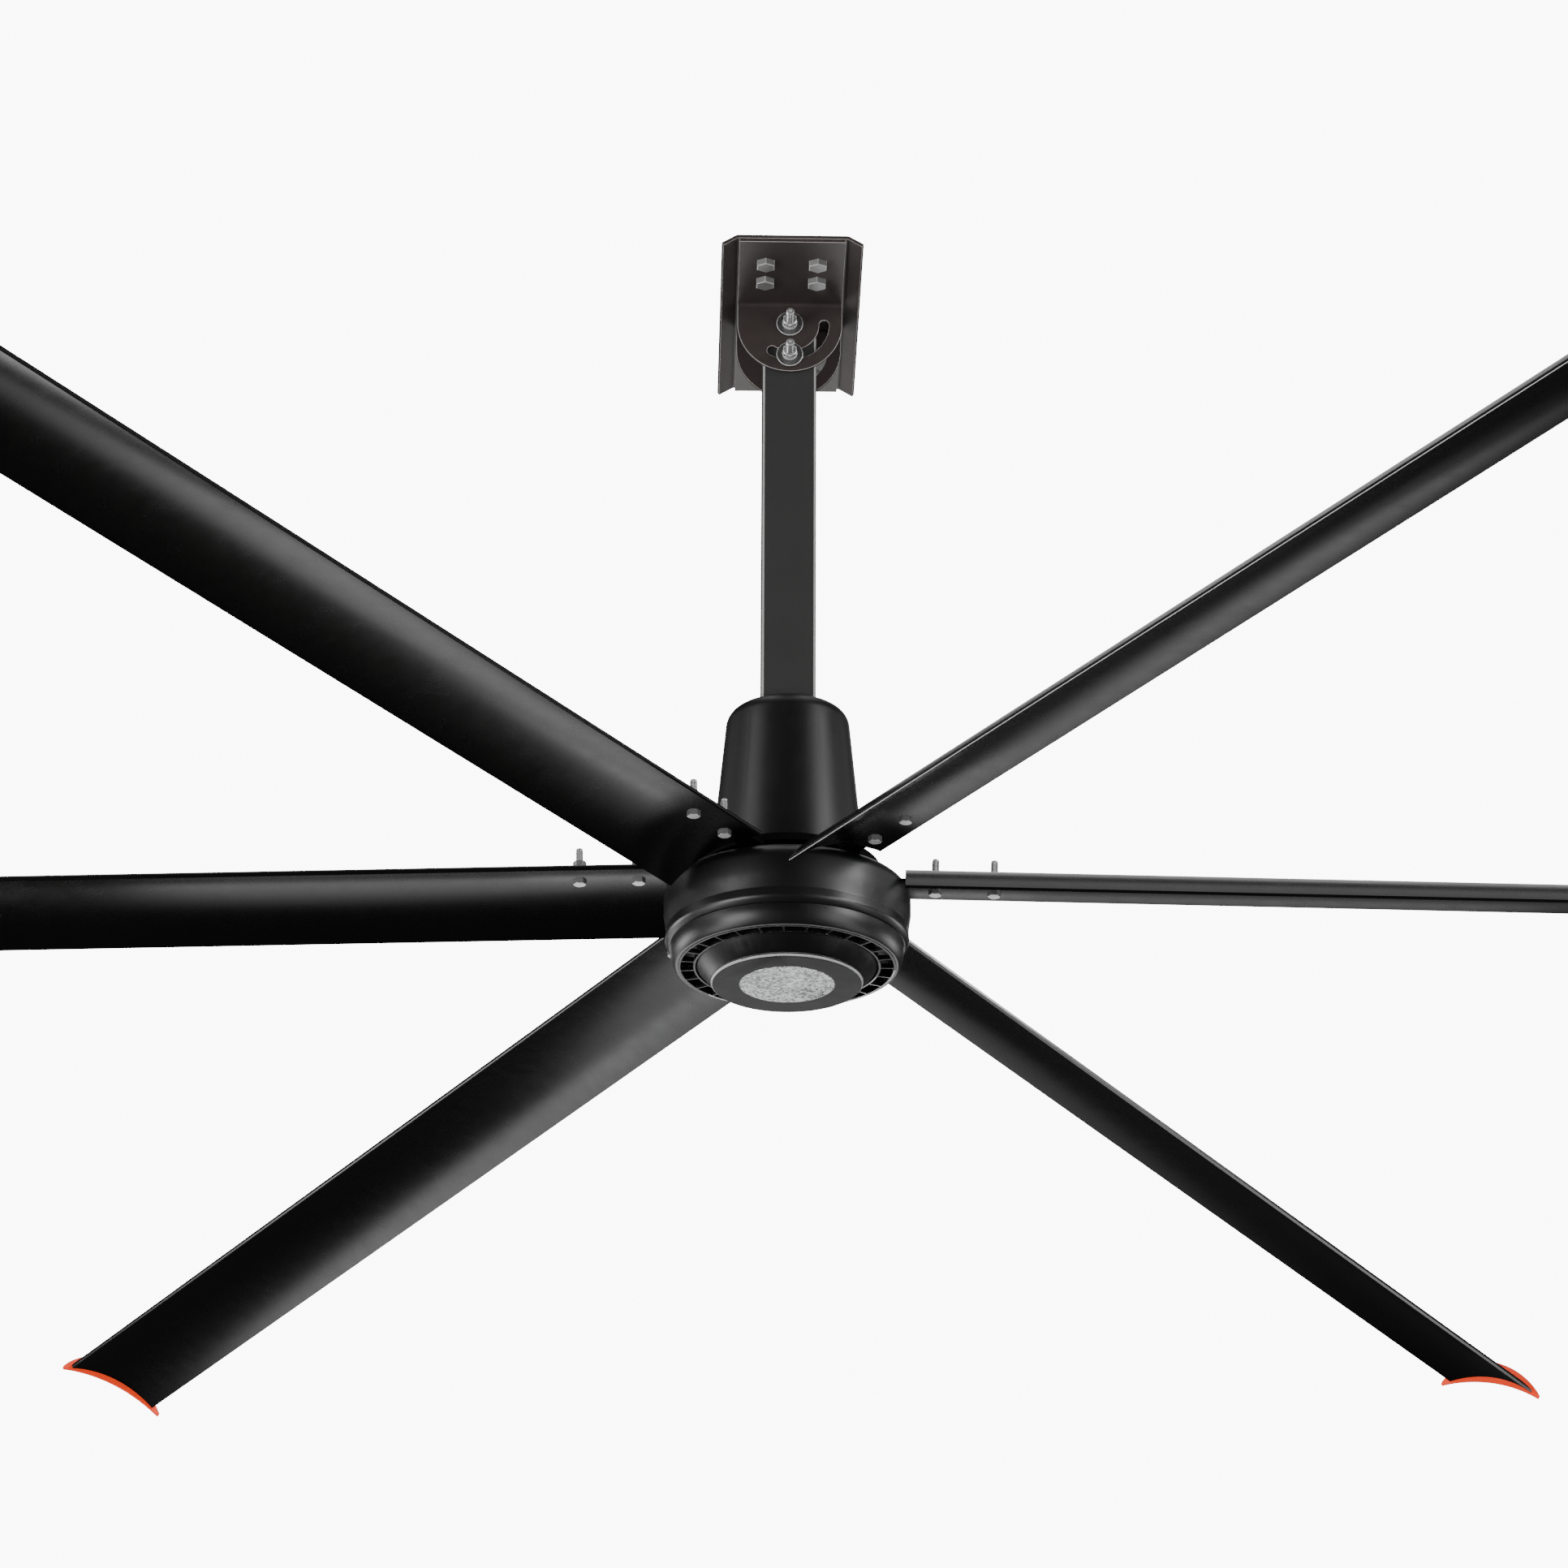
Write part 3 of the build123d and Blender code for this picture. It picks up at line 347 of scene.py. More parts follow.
def hex_head(flats, height, round_face):
    """A bolt head from its outer face at zero up to its bearing face, chamfered at the outer face. The band
    round the outer face is painted pale, and so is a round face or a forged head's corners: a painted
    highlight."""
    mesh = bmesh.new()
    if round_face:
        crown = crown_share * flats
        outer = circle_ring(mesh, crown, 0.0)
        shoulder = hexagon_ring(mesh, flats, 0.0, crown, 1)
    else:
        outer = hexagon_ring(mesh, forged_face_share * flats, 0.0)
        shoulder = hexagon_ring(mesh, flats, forged_rounding_share * flats)
    bearing = hexagon_ring(mesh, flats, height)
    shank_hole = circle_ring(mesh, shank_hole_share * flats, height)
    skin(mesh, [outer, shoulder, bearing, shank_hole], (0,))
    face = mesh.faces.new(list(reversed(outer)))
    mesh.normal_update()
    if round_face:
        face.material_index = 1
    else:
        paint_corner_highlights(mesh)
    return mesh


countersink_share = 0.12


def hex_nut(flats, height, bore_radius):
    """A nut chamfered at both faces, with a countersunk bore. Its chamfers and corners are painted pale, a
    painted highlight.
    """
    mesh = bmesh.new()
    crown = crown_share * flats
    sink = countersink_share * bore_radius
    rings = [
        circle_ring(mesh, bore_radius + sink, 0.0),
        circle_ring(mesh, crown, 0.0),
        hexagon_ring(mesh, flats, 0.0, crown, 1),
        hexagon_ring(mesh, flats, height, crown, -1),
        circle_ring(mesh, crown, height),
        circle_ring(mesh, bore_radius + sink, height),
        circle_ring(mesh, bore_radius, height - sink),
        circle_ring(mesh, bore_radius, sink),
    ]
    skin(mesh, rings + rings[:1], (1, 3))
    mesh.normal_update()
    paint_corner_highlights(mesh)
    return mesh


thread_sides = 24
rows_per_pitch = 4
# Shares of the thread's pitch.
thread_depth_share = 0.35
end_chamfer_share = 0.7
# Shares of the bolt's radius.
mark_mouth_share = 0.35
mark_floor_share = 0.15
mark_depth_share = 0.2


def threaded_shank(radius, plain, total, thread_pitch):
    """A bolt's shank: plain up to the thread, then a rolled thread and a chamfered end with the centre's
    mark in it. The end's chamfer is painted pale, a painted highlight."""
    mesh = bmesh.new()
    depth = thread_depth_share * thread_pitch
    end_chamfer = end_chamfer_share * thread_pitch
    rows = [[(radius, 0.0)] * thread_sides, [(radius, plain)] * thread_sides]
    for row in range(int((total - plain - 2 * thread_pitch) / thread_pitch * rows_per_pitch) + 1):
        climb = row / rows_per_pitch
        wave = abs(2 * (climb % 1) - 1)
        reach = radius - depth * (1 - wave)
        heights = [plain + thread_pitch * (climb + step / thread_sides) for step in range(thread_sides)]
        rows.append([(reach, height) for height in heights])
    end_highlight_band = len(rows)
    rows.append([(radius - depth, total - end_chamfer)] * thread_sides)
    rows.append([(radius - depth - end_chamfer / 2, total)] * thread_sides)
    rows.append([(mark_mouth_share * radius, total)] * thread_sides)
    rows.append([(mark_floor_share * radius, total - mark_depth_share * radius)] * thread_sides)
    made = []
    for points in rows:
        ring = []
        for step, (reach, height) in enumerate(points):
            turn = 2 * math.pi * step / thread_sides
            ring.append(mesh.verts.new((reach * math.cos(turn), reach * math.sin(turn), height)))
        made.append(ring)
    skin(mesh, made, (end_highlight_band,))
    mesh.faces.new(list(reversed(made[0])))
    mesh.faces.new(made[-1])
    return mesh


def bolt_set(
    node,
    towards,
    finish,
    highlight_finish,
    flats,
    head_height,
    radius,
    thread_length,
    thread_pitch,
    round_face=True,
):
    """Detailed bolts for a node of plain ones: heads at the near ends, threads at the far ends."""
    meshes = []
    for points in solids(node):
        start, tip = end_middles(points, towards)
        axis = (tip - start).normalized()
        place = stand(start, axis)
        head = hex_head(flats, head_height, round_face)
        total = (tip - start).length - head_height
        shank = threaded_shank(radius, total - thread_length, total, thread_pitch)
        head.transform(place)
        shank.transform(place @ Matrix.Translation((0, 0, head_height)))
        meshes.extend([head, shank])
    return join_pieces(f"{node}_threaded", meshes, finish, highlight_finish, node)


up = Vector((0, 0, 1))
zinc = bright_metal("zinc_plate", grey(0.46), roughness=0.34, scratch_scale=900.0, metal_share=0.74)
# Pale paint for the bolts' head faces, corners, chamfers and thread ends: a painted highlight.
zinc_highlight = bright_metal(
    "zinc_highlight",
    colour=(0.90, 0.90, 0.88),
    roughness=0.40,
    scratch_scale=900.0,
    metal_share=0.3,
)
beam_bolts = bolt_set(
    "beam_bolts",
    up,
    zinc,
    zinc_highlight,
    flats=0.024,
    head_height=0.009,
    radius=0.008,
    thread_length=0.026,
    thread_pitch=0.002,
    round_face=False,
)
beam_bolts.visible_glossy = False

# Pivot and lock bolts
# Two plated bolts cross the ears and the rod from behind. Each ends at the front in a broad washer of
# duller steel, a spring washer, a nut and bare thread with the turning centre's mark in its end. Their
# head faces, nut chamfers, thread ends and washer edges are painted pale, a painted highlight.
chrome = bright_metal("bright_chrome", grey(0.88), roughness=0.16, scratch_scale=700.0, metal_share=0.8)
# Pale paint for the same places on the bright bolts and nuts, and for the washers' edges: a painted
# highlight.
chrome_highlight = bright_metal("chrome_highlight", grey(0.96), roughness=0.30, scratch_scale=700.0, metal_share=0.3)
washer_steel = bright_metal(
    "washer_steel",
    colour=grey(0.24),
    roughness=0.26,
    scratch_scale=700.0,
    metal_share=0.8,
)
m12_flats = 0.018
m12_head_height = 0.0075
m12_radius = 0.006
m12_bore_radius = 0.0061
m12_pitch = 0.00175
to_front = Vector((0, -1, 0))
for word in ("pivot", "lock"):
    bolt_set(
        f"{word}_bolt",
        to_front,
        chrome,
        chrome_highlight,
        flats=m12_flats,
        head_height=m12_head_height,
        radius=m12_radius,
        thread_length=0.030,
        thread_pitch=m12_pitch,
    )
    start, tip = end_middles(solids(f"{word}_nut")[0], to_front)
    nut = hex_nut(m12_flats, (tip - start).length, m12_bore_radius)
    nut.transform(stand(start, to_front))
    join_pieces(f"{word}_nut_chamfered", [nut], chrome, chrome_highlight, f"{word}_nut")
    eased(f"{word}_washers", washer_steel, chrome_highlight, width=0.0007)
    eased(f"{word}_spring_washer", chrome, chrome_highlight, width=0.0005)

# Down rod
# Square steel tube, rounded at the top so that it can swing, on a flat round foot with six bolts. It is
# coated in a lighter satin grey-black than the rest. Pale lines are painted along its corners and edges, a
# painted highlight.
rod_coat = powder_coat("rod_coat", grey(0.030), grey(0.035), roughness=0.5, peel_depth=0.00003)
# Pale paint for the tube's corners and the rounded edges: a painted highlight.
rod_edge_highlight = powder_coat(
    "rod_edge_highlight",
    colour=(0.30, 0.30, 0.29),
    cloud_colour=(0.40, 0.40, 0.39),
    roughness=0.4,
    peel_depth=0.00002,
)
tube_upright_slope = 0.05
corner_turned_from = 0.30
corner_turned_to = 0.85


def on_tube_corner_highlight(face):
    """Whether a face lies on the middle of one of the tube's rounded corners, where a highlight is painted.
    """
    upright = abs(face.normal.z) < tube_upright_slope
    return upright and corner_turned_from < abs(face.normal.x) < corner_turned_to


eased("downrod_tube", rod_coat, rod_edge_highlight, width=0.0008, shines=on_tube_corner_highlight)
eased("tube_foot", rod_coat, rod_edge_highlight, width=0.0008)
bolt_set(
    "foot_bolts",
    -up,
    zinc,
    zinc_highlight,
    flats=m12_flats,
    head_height=m12_head_height,
    radius=m12_radius,
    thread_length=0.018,
    thread_pitch=m12_pitch,
)

# Dome cover and coupling flange
# A cover spun from thin steel sheet over the coupling, black with a soft sheen. It rests on the step of
# the flange, which is turned from plate and coated dull.
black = (0.0024, 0.0024, 0.0025)
black_cloud = (0.0034, 0.0034, 0.0035)
housing_coat = powder_coat(
    "housing_coat",
    colour=black,
    cloud_colour=black_cloud,
    roughness=0.38,
    peel_depth=0.00003,
    gleam=0.6,
)
hidden_coat = powder_coat(
    "hidden_coat",
    colour=grey(0.0024),
    cloud_colour=grey(0.0034),
    roughness=0.7,
    peel_depth=0.00003,
    gleam=0.05,
)
eased("dome_cover", housing_coat, housing_coat, width=0.0007)
eased("coupling_flange", hidden_coat, hidden_coat, width=0.0007)

# Motor drum, lower cup and vent ring
# Cast and turned aluminium, coated in the same black. The cup's lower face round its mouth is painted
# grey, and the thin ring in that mouth has its rims and the lower faces of its ribs painted pale: painted
# highlights.
drum_coat = powder_coat(
    "drum_coat",
    colour=black,
    cloud_colour=black_cloud,
    roughness=0.38,
    peel_depth=0.00003,
    gleam=0.78,
)
eased("motor_drum", drum_coat, drum_coat, width=0.0008)
# Grey paint round the cup's mouth: a painted highlight.
mouth_highlight_coat = powder_coat("mouth_highlight_coat", grey(0.16), grey(0.22), roughness=0.36, peel_depth=0.00002)
mouth_height = -0.992
downward_slope = -0.9


def on_mouth_highlight(face):
    """Whether a face is the lower face round the cup's mouth, which is painted grey as a highlight."""
    return face.normal.z < downward_slope and face.center.z < mouth_height


lower_cup = eased("lower_cup", housing_coat, mouth_highlight_coat, width=0.0008, shines=on_mouth_highlight)
for face in lower_cup.data.polygons:
    if face.center.z > mouth_height:
        face.material_index = 0
# Pale paint for the ring's rounded rims and the ribs' lower faces: a painted highlight.
vent_highlight = powder_coat("vent_highlight", grey(0.78), grey(0.88), roughness=0.34, peel_depth=0.00002)
rib_start = 0.1285
rib_end = 0.1425


def under_rib(face):
    """Whether a face is the lower face of a rib, between the ring's two rims."""
    from_axis = math.hypot(face.center.x, face.center.y)
    return face.normal.z < downward_slope and rib_start < from_axis < rib_end


eased("vent_ring", housing_coat, vent_highlight, width=0.0005, shines=under_rib)
eased("cup_screws", zinc, zinc, width=0.0005)

# Hub plate and arms
# A steel disc screwed on the drum's boss, with six flat bars bolted under it. All are coated dull black,
# and the bolts are left bright. The disc's rim is drawn out a little, to show as a line over the drum.
hub_plate = eased("hub_plate", hidden_coat, hidden_coat, width=0.0008)
rim_start = 0.118
rim_growth = 0.0045
for vert in hub_plate.data.vertices:
    reach = math.hypot(vert.co.x, vert.co.y)
    if reach > rim_start:
        vert.co.x *= 1 + rim_growth / reach
        vert.co.y *= 1 + rim_growth / reach
blade_count = 6
for index in range(1, blade_count + 1):
    eased(f"blade_arm_{index}", hidden_coat, hidden_coat, width=0.0007)
eased("hub_screws", zinc, zinc, width=0.0003)
m10_flats = 0.016
m10_pitch = 0.0015
bolt_set(
    "arm_bolts",
    up,
    zinc,
    zinc_highlight,
    flats=m10_flats,
    head_height=0.0064,
    radius=0.0049,
    thread_length=0.012,
    thread_pitch=m10_pitch,
)

# Blades
# Long hollow extrusions of aluminium with fine draw lines along them, coated in semi-gloss black. The
# section has a round nose, a hollow underside, a thin tail edge and two webs inside. One blade has a pale
# line painted along the lower edge of its tail, a painted highlight.
chord = 0.147
chord_pitch = math.radians(17)
blade_droop = math.radians(1.29)
first_turn = math.radians(-1.44)
blade_root = 0.159
blade_tip = 2.192
nose_ahead = 0.0523
nose_rise = 0.0469
nose_height = 0.009
nose_bulge = 0.0025
tail_height = 0.004
highlight_height = 0.0011
highlighted_blade = 5
crest_place = 0.059
crest_height = 0.033
hollow_height = 0.016
blade_wall = 0.0025
web_places = (0.052, 0.096)
nose_wall = 0.004
tail_wall = 0.010
ring_level = -0.9155


def arc_between(start, finish, middle, count):
    """Points on the arc round a middle from start to finish, both kept."""
    first = math.atan2(start[1] - middle[1], start[0] - middle[0])
    last = math.atan2(finish[1] - middle[1], finish[0] - middle[0])
    sweep = (last - first + math.pi) % (2 * math.pi) - math.pi
    reach = math.hypot(start[0] - middle[0], start[1] - middle[1])
    turns = [first + sweep * step / count for step in range(count + 1)]
    return [(middle[0] + reach * math.cos(turn), middle[1] + reach * math.sin(turn)) for turn in turns]


hollow_radius = ((chord / 2) ** 2 + hollow_height**2) / (2 * hollow_height)
hollow_middle = (chord / 2, hollow_height - hollow_radius)
front_fall = crest_height - nose_height
front_radius = (crest_place**2 + front_fall**2) / (2 * front_fall)
front_middle = (crest_place, crest_height - front_radius)
back_run = chord - crest_place
back_fall = crest_height - tail_height
back_radius = (back_run**2 + back_fall**2) / (2 * back_fall)
back_middle = (crest_place, crest_height - back_radius)
nose_radius = ((nose_height / 2) ** 2 + nose_bulge**2) / (2 * nose_bulge)
nose_middle = (nose_radius - nose_bulge, nose_height / 2)
crest = (crest_place, crest_height)
hollow_steps = 56
back_steps = 36
front_steps = 28
nose_steps = 14
chamber_steps = 16


def blade_outline():
    """The section from the nose along the underside, round the tail and back over the crest."""
    points = arc_between((0.0, 0.0), (chord, 0.0), hollow_middle, hollow_steps)
    points += [(chord, highlight_height), (chord, tail_height)]
    points += arc_between((chord, tail_height), crest, back_middle, back_steps)[1:]
    points += arc_between(crest, (0.0, nose_height), front_middle, front_steps)[1:]
    points += arc_between((0.0, nose_height), (0.0, 0.0), nose_middle, nose_steps)[1:-1]
    return points


def chamber_outline(low_end, high_end):
    """One hollow of the section, between two places along the chord."""
    floor_line = []
    roof_line = []
    for step in range(chamber_steps + 1):
        place = low_end + (high_end - low_end) * step / chamber_steps
        under = math.sqrt((hollow_radius + blade_wall) ** 2 - (place - hollow_middle[0]) ** 2)
        floor_line.append((place, hollow_middle[1] + under))
        if place < crest_place:
            radius, middle = front_radius, front_middle
        else:
            radius, middle = back_radius, back_middle
        over = math.sqrt((radius - blade_wall) ** 2 - (place - middle[0]) ** 2)
        roof_line.append((place, middle[1] + over))
    return floor_line + roof_line[::-1]


def drawn_coat(name, colour, cloud_colour, roughness, blade_turn):
    """Powder coat over an extrusion: faint lines run along the blade under the orange peel."""
    material = powder_coat(name, colour, cloud_colour, roughness, peel_depth=0.000015)
    nodes = material.node_tree.nodes
    links = material.node_tree.links
    along = nodes.new("ShaderNodeMapping")
    along.inputs["Rotation"].default_value = (0, 0, -blade_turn)
    links.new(nodes["Texture Coordinate"].outputs["Object"], along.inputs["Vector"])
    stretch = nodes.new("ShaderNodeMapping")
    stretch.inputs["Scale"].default_value = (0.6, 240.0, 240.0)
    links.new(along.outputs["Vector"], stretch.inputs["Vector"])
    lines = mottling(material, stretch.outputs["Vector"], scale=1.0, detail=2.0)
    emboss_by(lines, material, strength=0.15, depth=0.00004, under=nodes["Bump"])
    return material


def blade_frame(turn):
    """Matrix of a blade's own frame: X out along the blade, Y ahead, Z up, origin at the ring."""
    turned = Matrix.Rotation(turn, 4, "Z")
    return Matrix.Translation((0, 0, ring_level)) @ turned @ Matrix.Rotation(blade_droop, 4, "Y")


def section_matrix(turn):
    """Matrix that lays a drawn section across a blade at its root, with Z out towards the tip."""
    to_tail = Vector((0, -math.cos(chord_pitch), -math.sin(chord_pitch)))
    off_chord = Vector((0, -math.sin(chord_pitch), math.cos(chord_pitch)))
    out = Vector((1, 0, 0))
    pitched = Matrix((to_tail, off_chord, out)).transposed().to_4x4()
    return blade_frame(turn) @ Matrix.Translation((blade_root, nose_ahead, nose_rise)) @ pitched


outline_weld_gap = 1e-6


def extruded(name, outlines, length):
    """A straight extrusion of an outer outline with hollows, as a mesh from zero up to its length."""
    drawing = bpy.data.curves.new(name, "CURVE")
    drawing.dimensions = "2D"
    drawing.fill_mode = "BOTH"
    drawing.extrude = length / 2
    for points in outlines:
        line = drawing.splines.new("POLY")
        line.points.add(len(points) - 1)
        for spot, (across, above) in zip(line.points, points):
            spot.co = (across, above, 0.0, 1.0)
        line.use_cyclic_u = True
    holder = bpy.data.objects.new(name, drawing)
    bpy.context.scene.collection.objects.link(holder)
    depsgraph = bpy.context.evaluated_depsgraph_get()
    data = bpy.data.meshes.new_from_object(holder.evaluated_get(depsgraph))
    bpy.data.objects.remove(holder)
    data.transform(Matrix.Translation((0, 0, length / 2)))
    mesh = bmesh.new()
    mesh.from_mesh(data)
    bmesh.ops.remove_doubles(mesh, verts=mesh.verts, dist=outline_weld_gap)
    bmesh.ops.recalc_face_normals(mesh, faces=mesh.faces)
    mesh.to_mesh(data)
    mesh.free()
    return data


first_hollow = (nose_wall, web_places[0] - blade_wall / 2)
middle_hollow = (web_places[0] + blade_wall / 2, web_places[1] - blade_wall / 2)
last_hollow = (web_places[1] + blade_wall / 2, chord - tail_wall)
hollows = [chamber_outline(*span) for span in (first_hollow, middle_hollow, last_hollow)]
# Pale paint for one blade's lower tail line: a painted highlight.
tail_highlight = powder_coat(
    "tail_highlight",
    colour=grey(0.50),
    cloud_colour=(0.62, 0.62, 0.61),
    roughness=0.4,
    peel_depth=0.00002,
)
tail_gap = 1e-5
blade_facet_limit = math.radians(25)
for index in range(blade_count):
    turn = first_turn + math.radians(360 / blade_count * index)
    coat_name = f"blade_coat_{index + 1}"
    blade_coat = drawn_coat(coat_name, black, black_cloud, roughness=0.26, blade_turn=turn)
    data = extruded(f"blade_{index + 1}_drawn", [blade_outline(), *hollows], blade_tip - blade_root)
    data.materials.clear()
    data.materials.append(blade_coat)
    data.materials.append(tail_highlight)
    for face in data.polygons:
        on_tail = abs(face.center[0] - chord) < tail_gap
        low_on_tail = on_tail and face.center[1] < highlight_height
        face.use_smooth = True
        face.material_index = 1 if index == highlighted_blade and low_on_tail else 0
    data.set_sharp_from_angle(angle=blade_facet_limit)
    blade = bpy.data.objects.new(f"blade_{index + 1}_drawn", data)
    data.transform(section_matrix(turn))
    bpy.context.scene.collection.objects.link(blade)
    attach(blade, "rotor")
    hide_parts(f"blade_{index + 1}")

# Blade bolts and nuts
# Two bright plated bolts clamp each blade on its arm, heads below and a long stretch of thread standing
# above. The zinc plated nuts on top are chamfered at both faces.
m10_radius = 0.005
m10_bore_radius = 0.0051
# Their heads' faces and thread ends, and the nuts' chamfers and corners, are painted pale: a painted
# highlight.
blade_bolts = bolt_set(
    "blade_bolts",
    up,
    chrome,
    chrome_highlight,
    flats=m10_flats,
    head_height=0.0085,
    radius=m10_radius,
    thread_length=0.034,
    thread_pitch=m10_pitch,
)
blade_bolts.visible_glossy = False
nut_meshes = []
for points in solids("blade_nuts"):
    start, tip = end_middles(points, up)
    nut = hex_nut(m10_flats, (tip - start).length, m10_bore_radius)
    nut.transform(stand(start, (tip - start).normalized()))
    nut_meshes.append(nut)
join_pieces("blade_nuts_chamfered", nut_meshes, zinc, zinc_highlight, "blade_nuts")

# Tip caps
# Injection moulded end caps in bright orange, one on the end of each blade and proud of its section all
# round. They have rounded rims and a faint moulded grain, and a faint glow in their colour is painted in as
# light.


def plastic_with_painted_glow(name, colour, shade_colour, roughness):
    """Moulded plastic: strong even colour, some cloud from the melt, and fine grain, with a faint glow of
    its own colour as painted light.
    """
    material = powder_coat(name, colour, shade_colour, roughness, peel_depth=0.00002)
    shader = material.node_tree.nodes["Principled BSDF"]
    shader.inputs["Subsurface Weight"].default_value = 0.08
    shader.inputs["Subsurface Radius"].default_value = (0.004, 0.001, 0.0005)
    # Emission in the plastic's own colour: painted light that keeps the caps evenly bright.
    shader.inputs["Emission Color"].default_value = (*colour, 1.0)
    shader.inputs["Emission Strength"].default_value = 0.6
    return material


orange = plastic_with_painted_glow(
    "orange_plastic",
    colour=(0.84, 0.042, 0.006),
    shade_colour=(0.88, 0.055, 0.009),
    roughness=0.38,
)
for index in range(1, blade_count + 1):
    cap = eased(f"tip_cap_{index}", orange, orange, width=0.0010)
    cap.visible_glossy = False

# Lamp
# A cast dish hangs on the shaft's end below the motor. A black bezel holds a prismatic lens over the
# light board, and the rounding between its face and its wall is painted pale, a painted highlight.
eased("lamp_housing", housing_coat, housing_coat, width=0.0006)
bezel_coat = powder_coat(
    "bezel_coat",
    colour=grey(0.0060),
    cloud_colour=grey(0.0082),
    roughness=0.36,
    peel_depth=0.00002,
    gleam=0.085,
)
# Pale paint for the bezel's rounding: a painted highlight.
bezel_highlight = powder_coat("bezel_highlight", grey(0.44), grey(0.54), roughness=0.30, peel_depth=0.00002)
bezel_sharp_limit = math.radians(50)
round_start_slope = -0.88
round_end_slope = -0.20


def on_bezel_round(face):
    """Whether a face lies on the rounding between the bezel's face and its wall."""
    return round_start_slope < face.normal.z < round_end_slope


eased(
    "lamp_bezel",
    bezel_coat,
    bezel_highlight,
    width=0.0004,
    sharp=bezel_sharp_limit,
    shines=on_bezel_round,
)


def prismatic_plastic(name):
    """Clear plastic pressed with a crushed ice pattern over the white board, its cells painted light and
    dark: painted glints and shade.
    """
    material, shader, place = fresh_finish(name)
    shader.inputs["Roughness"].default_value = 0.16
    shader.inputs["Coat Weight"].default_value = 0.5
    nodes = material.node_tree.nodes
    links = material.node_tree.links
    grains = nodes.new("ShaderNodeTexVoronoi")
    grains.inputs["Scale"].default_value = 330.0
    links.new(place, grains.inputs["Vector"])
    split = nodes.new("ShaderNodeSeparateColor")
    links.new(grains.outputs["Color"], split.inputs["Color"])
    glint_and_shade_ramp = nodes.new("ShaderNodeValToRGB")
    glint_and_shade_ramp.color_ramp.elements[0].position = 0.34
    glint_and_shade_ramp.color_ramp.elements[0].color = (0.02, 0.035, 0.04, 1.0)
    glint_and_shade_ramp.color_ramp.elements[1].position = 0.58
    glint_and_shade_ramp.color_ramp.elements[1].color = (0.95, 0.99, 1.0, 1.0)
    links.new(split.outputs["Red"], glint_and_shade_ramp.inputs["Fac"])
    links.new(glint_and_shade_ramp.outputs["Color"], shader.inputs["Base Color"])
    emboss_by(grains.outputs["Distance"], material, strength=0.8, depth=0.0005)
    return material


# The lens's light and dark cells are painted glints and shade.
ice = prismatic_plastic("crushed_ice_lens")
eased("lamp_lens", ice, ice, width=0.0003)

# Inner works
# Shaft, bearings, stator, magnets and light board are closed in by the drum and the lamp. They keep
# their CAD solids and take the finishes of ground steel, laminations, copper wire and bare metal.
ground = bright_metal("ground_steel", grey(0.60), roughness=0.22, scratch_scale=500.0)
lamination = bright_metal("lamination_steel", (0.26, 0.27, 0.29), roughness=0.42, scratch_scale=300.0)
copper = bright_metal("copper_wire", (0.72, 0.30, 0.14), roughness=0.30, scratch_scale=800.0)
magnet = bright_metal("magnet_plate", (0.45, 0.45, 0.46), roughness=0.34, scratch_scale=600.0)
cast_bare = bright_metal("bare_casting", (0.62, 0.63, 0.65), roughness=0.46, scratch_scale=260.0)
solder_mask = powder_coat(
    "solder_mask",
    colour=(0.78, 0.78, 0.76),
    cloud_colour=(0.84, 0.84, 0.82),
    roughness=0.4,
    peel_depth=0.00002,
)
for node, finish in {
    "stator_shaft": ground,
    "upper_bearing": ground,
    "lower_bearing": ground,
    "shaft_top_nut": zinc,
    "lamp_nut": zinc,
    "stator_core": lamination,
    "rotor_yoke": lamination,
    "stator_windings": copper,
    "rotor_magnets": magnet,
    "heat_sink": cast_bare,
    "led_board": solder_mask,
}.items():
    solid = frame["nodes"][node]
    solid.data.materials.clear()
    solid.data.materials.append(finish)

# Floor, light and camera
# A pale floor lies far below, and the white backdrop is there for the camera alone. Soft boxes stand in
# front, low, at the sides, behind and above, and panels behind the rotor draw the bands in its coats. The
# camera stands low in front and looks up with a long lens.
floor_depth = 22.0
floor_half = 400.0
floor_corners = ((-1, -1), (1, -1), (1, 1), (-1, 1))
floor_mesh = bpy.data.meshes.new("floor")
floor_mesh.from_pydata(
    [(floor_half * side, floor_half * ahead, -floor_depth) for side, ahead in floor_corners],
    [],
    [(0, 1, 2, 3)],
)
floor = bpy.data.objects.new("floor", floor_mesh)
bpy.context.scene.collection.objects.link(floor)
white = (1.0, 1.0, 1.0, 1.0)
floor_paint = powder_coat("floor_paint", grey(0.80), grey(0.84), roughness=0.7, peel_depth=0.0001)
floor_shader = floor_paint.node_tree.nodes["Principled BSDF"]
floor_shader.inputs["Emission Color"].default_value = white
floor_shader.inputs["Emission Strength"].default_value = 4.0
floor_mesh.materials.append(floor_paint)
floor.visible_glossy = False
floor.visible_diffuse = False

world = bpy.data.worlds.new("surround")
bpy.context.scene.world = world
world.use_nodes = True
world_nodes = world.node_tree.nodes
world_links = world.node_tree.links
seen_backdrop = world_nodes.new("ShaderNodeBackground")
seen_backdrop.inputs["Color"].default_value = white
seen_backdrop.inputs["Strength"].default_value = 10.0
room = world_nodes["Background"]
room.inputs["Color"].default_value = white
room.inputs["Strength"].default_value = 0.03
ray = world_nodes.new("ShaderNodeLightPath")
choice = world_nodes.new("ShaderNodeMixShader")
world_links.new(ray.outputs["Is Camera Ray"], choice.inputs[0])
world_links.new(room.outputs["Background"], choice.inputs[1])
world_links.new(seen_backdrop.outputs["Background"], choice.inputs[2])
world_links.new(choice.outputs["Shader"], world_nodes["World Output"].inputs["Surface"])

rotor_middle = Vector((0, 0, ring_level))


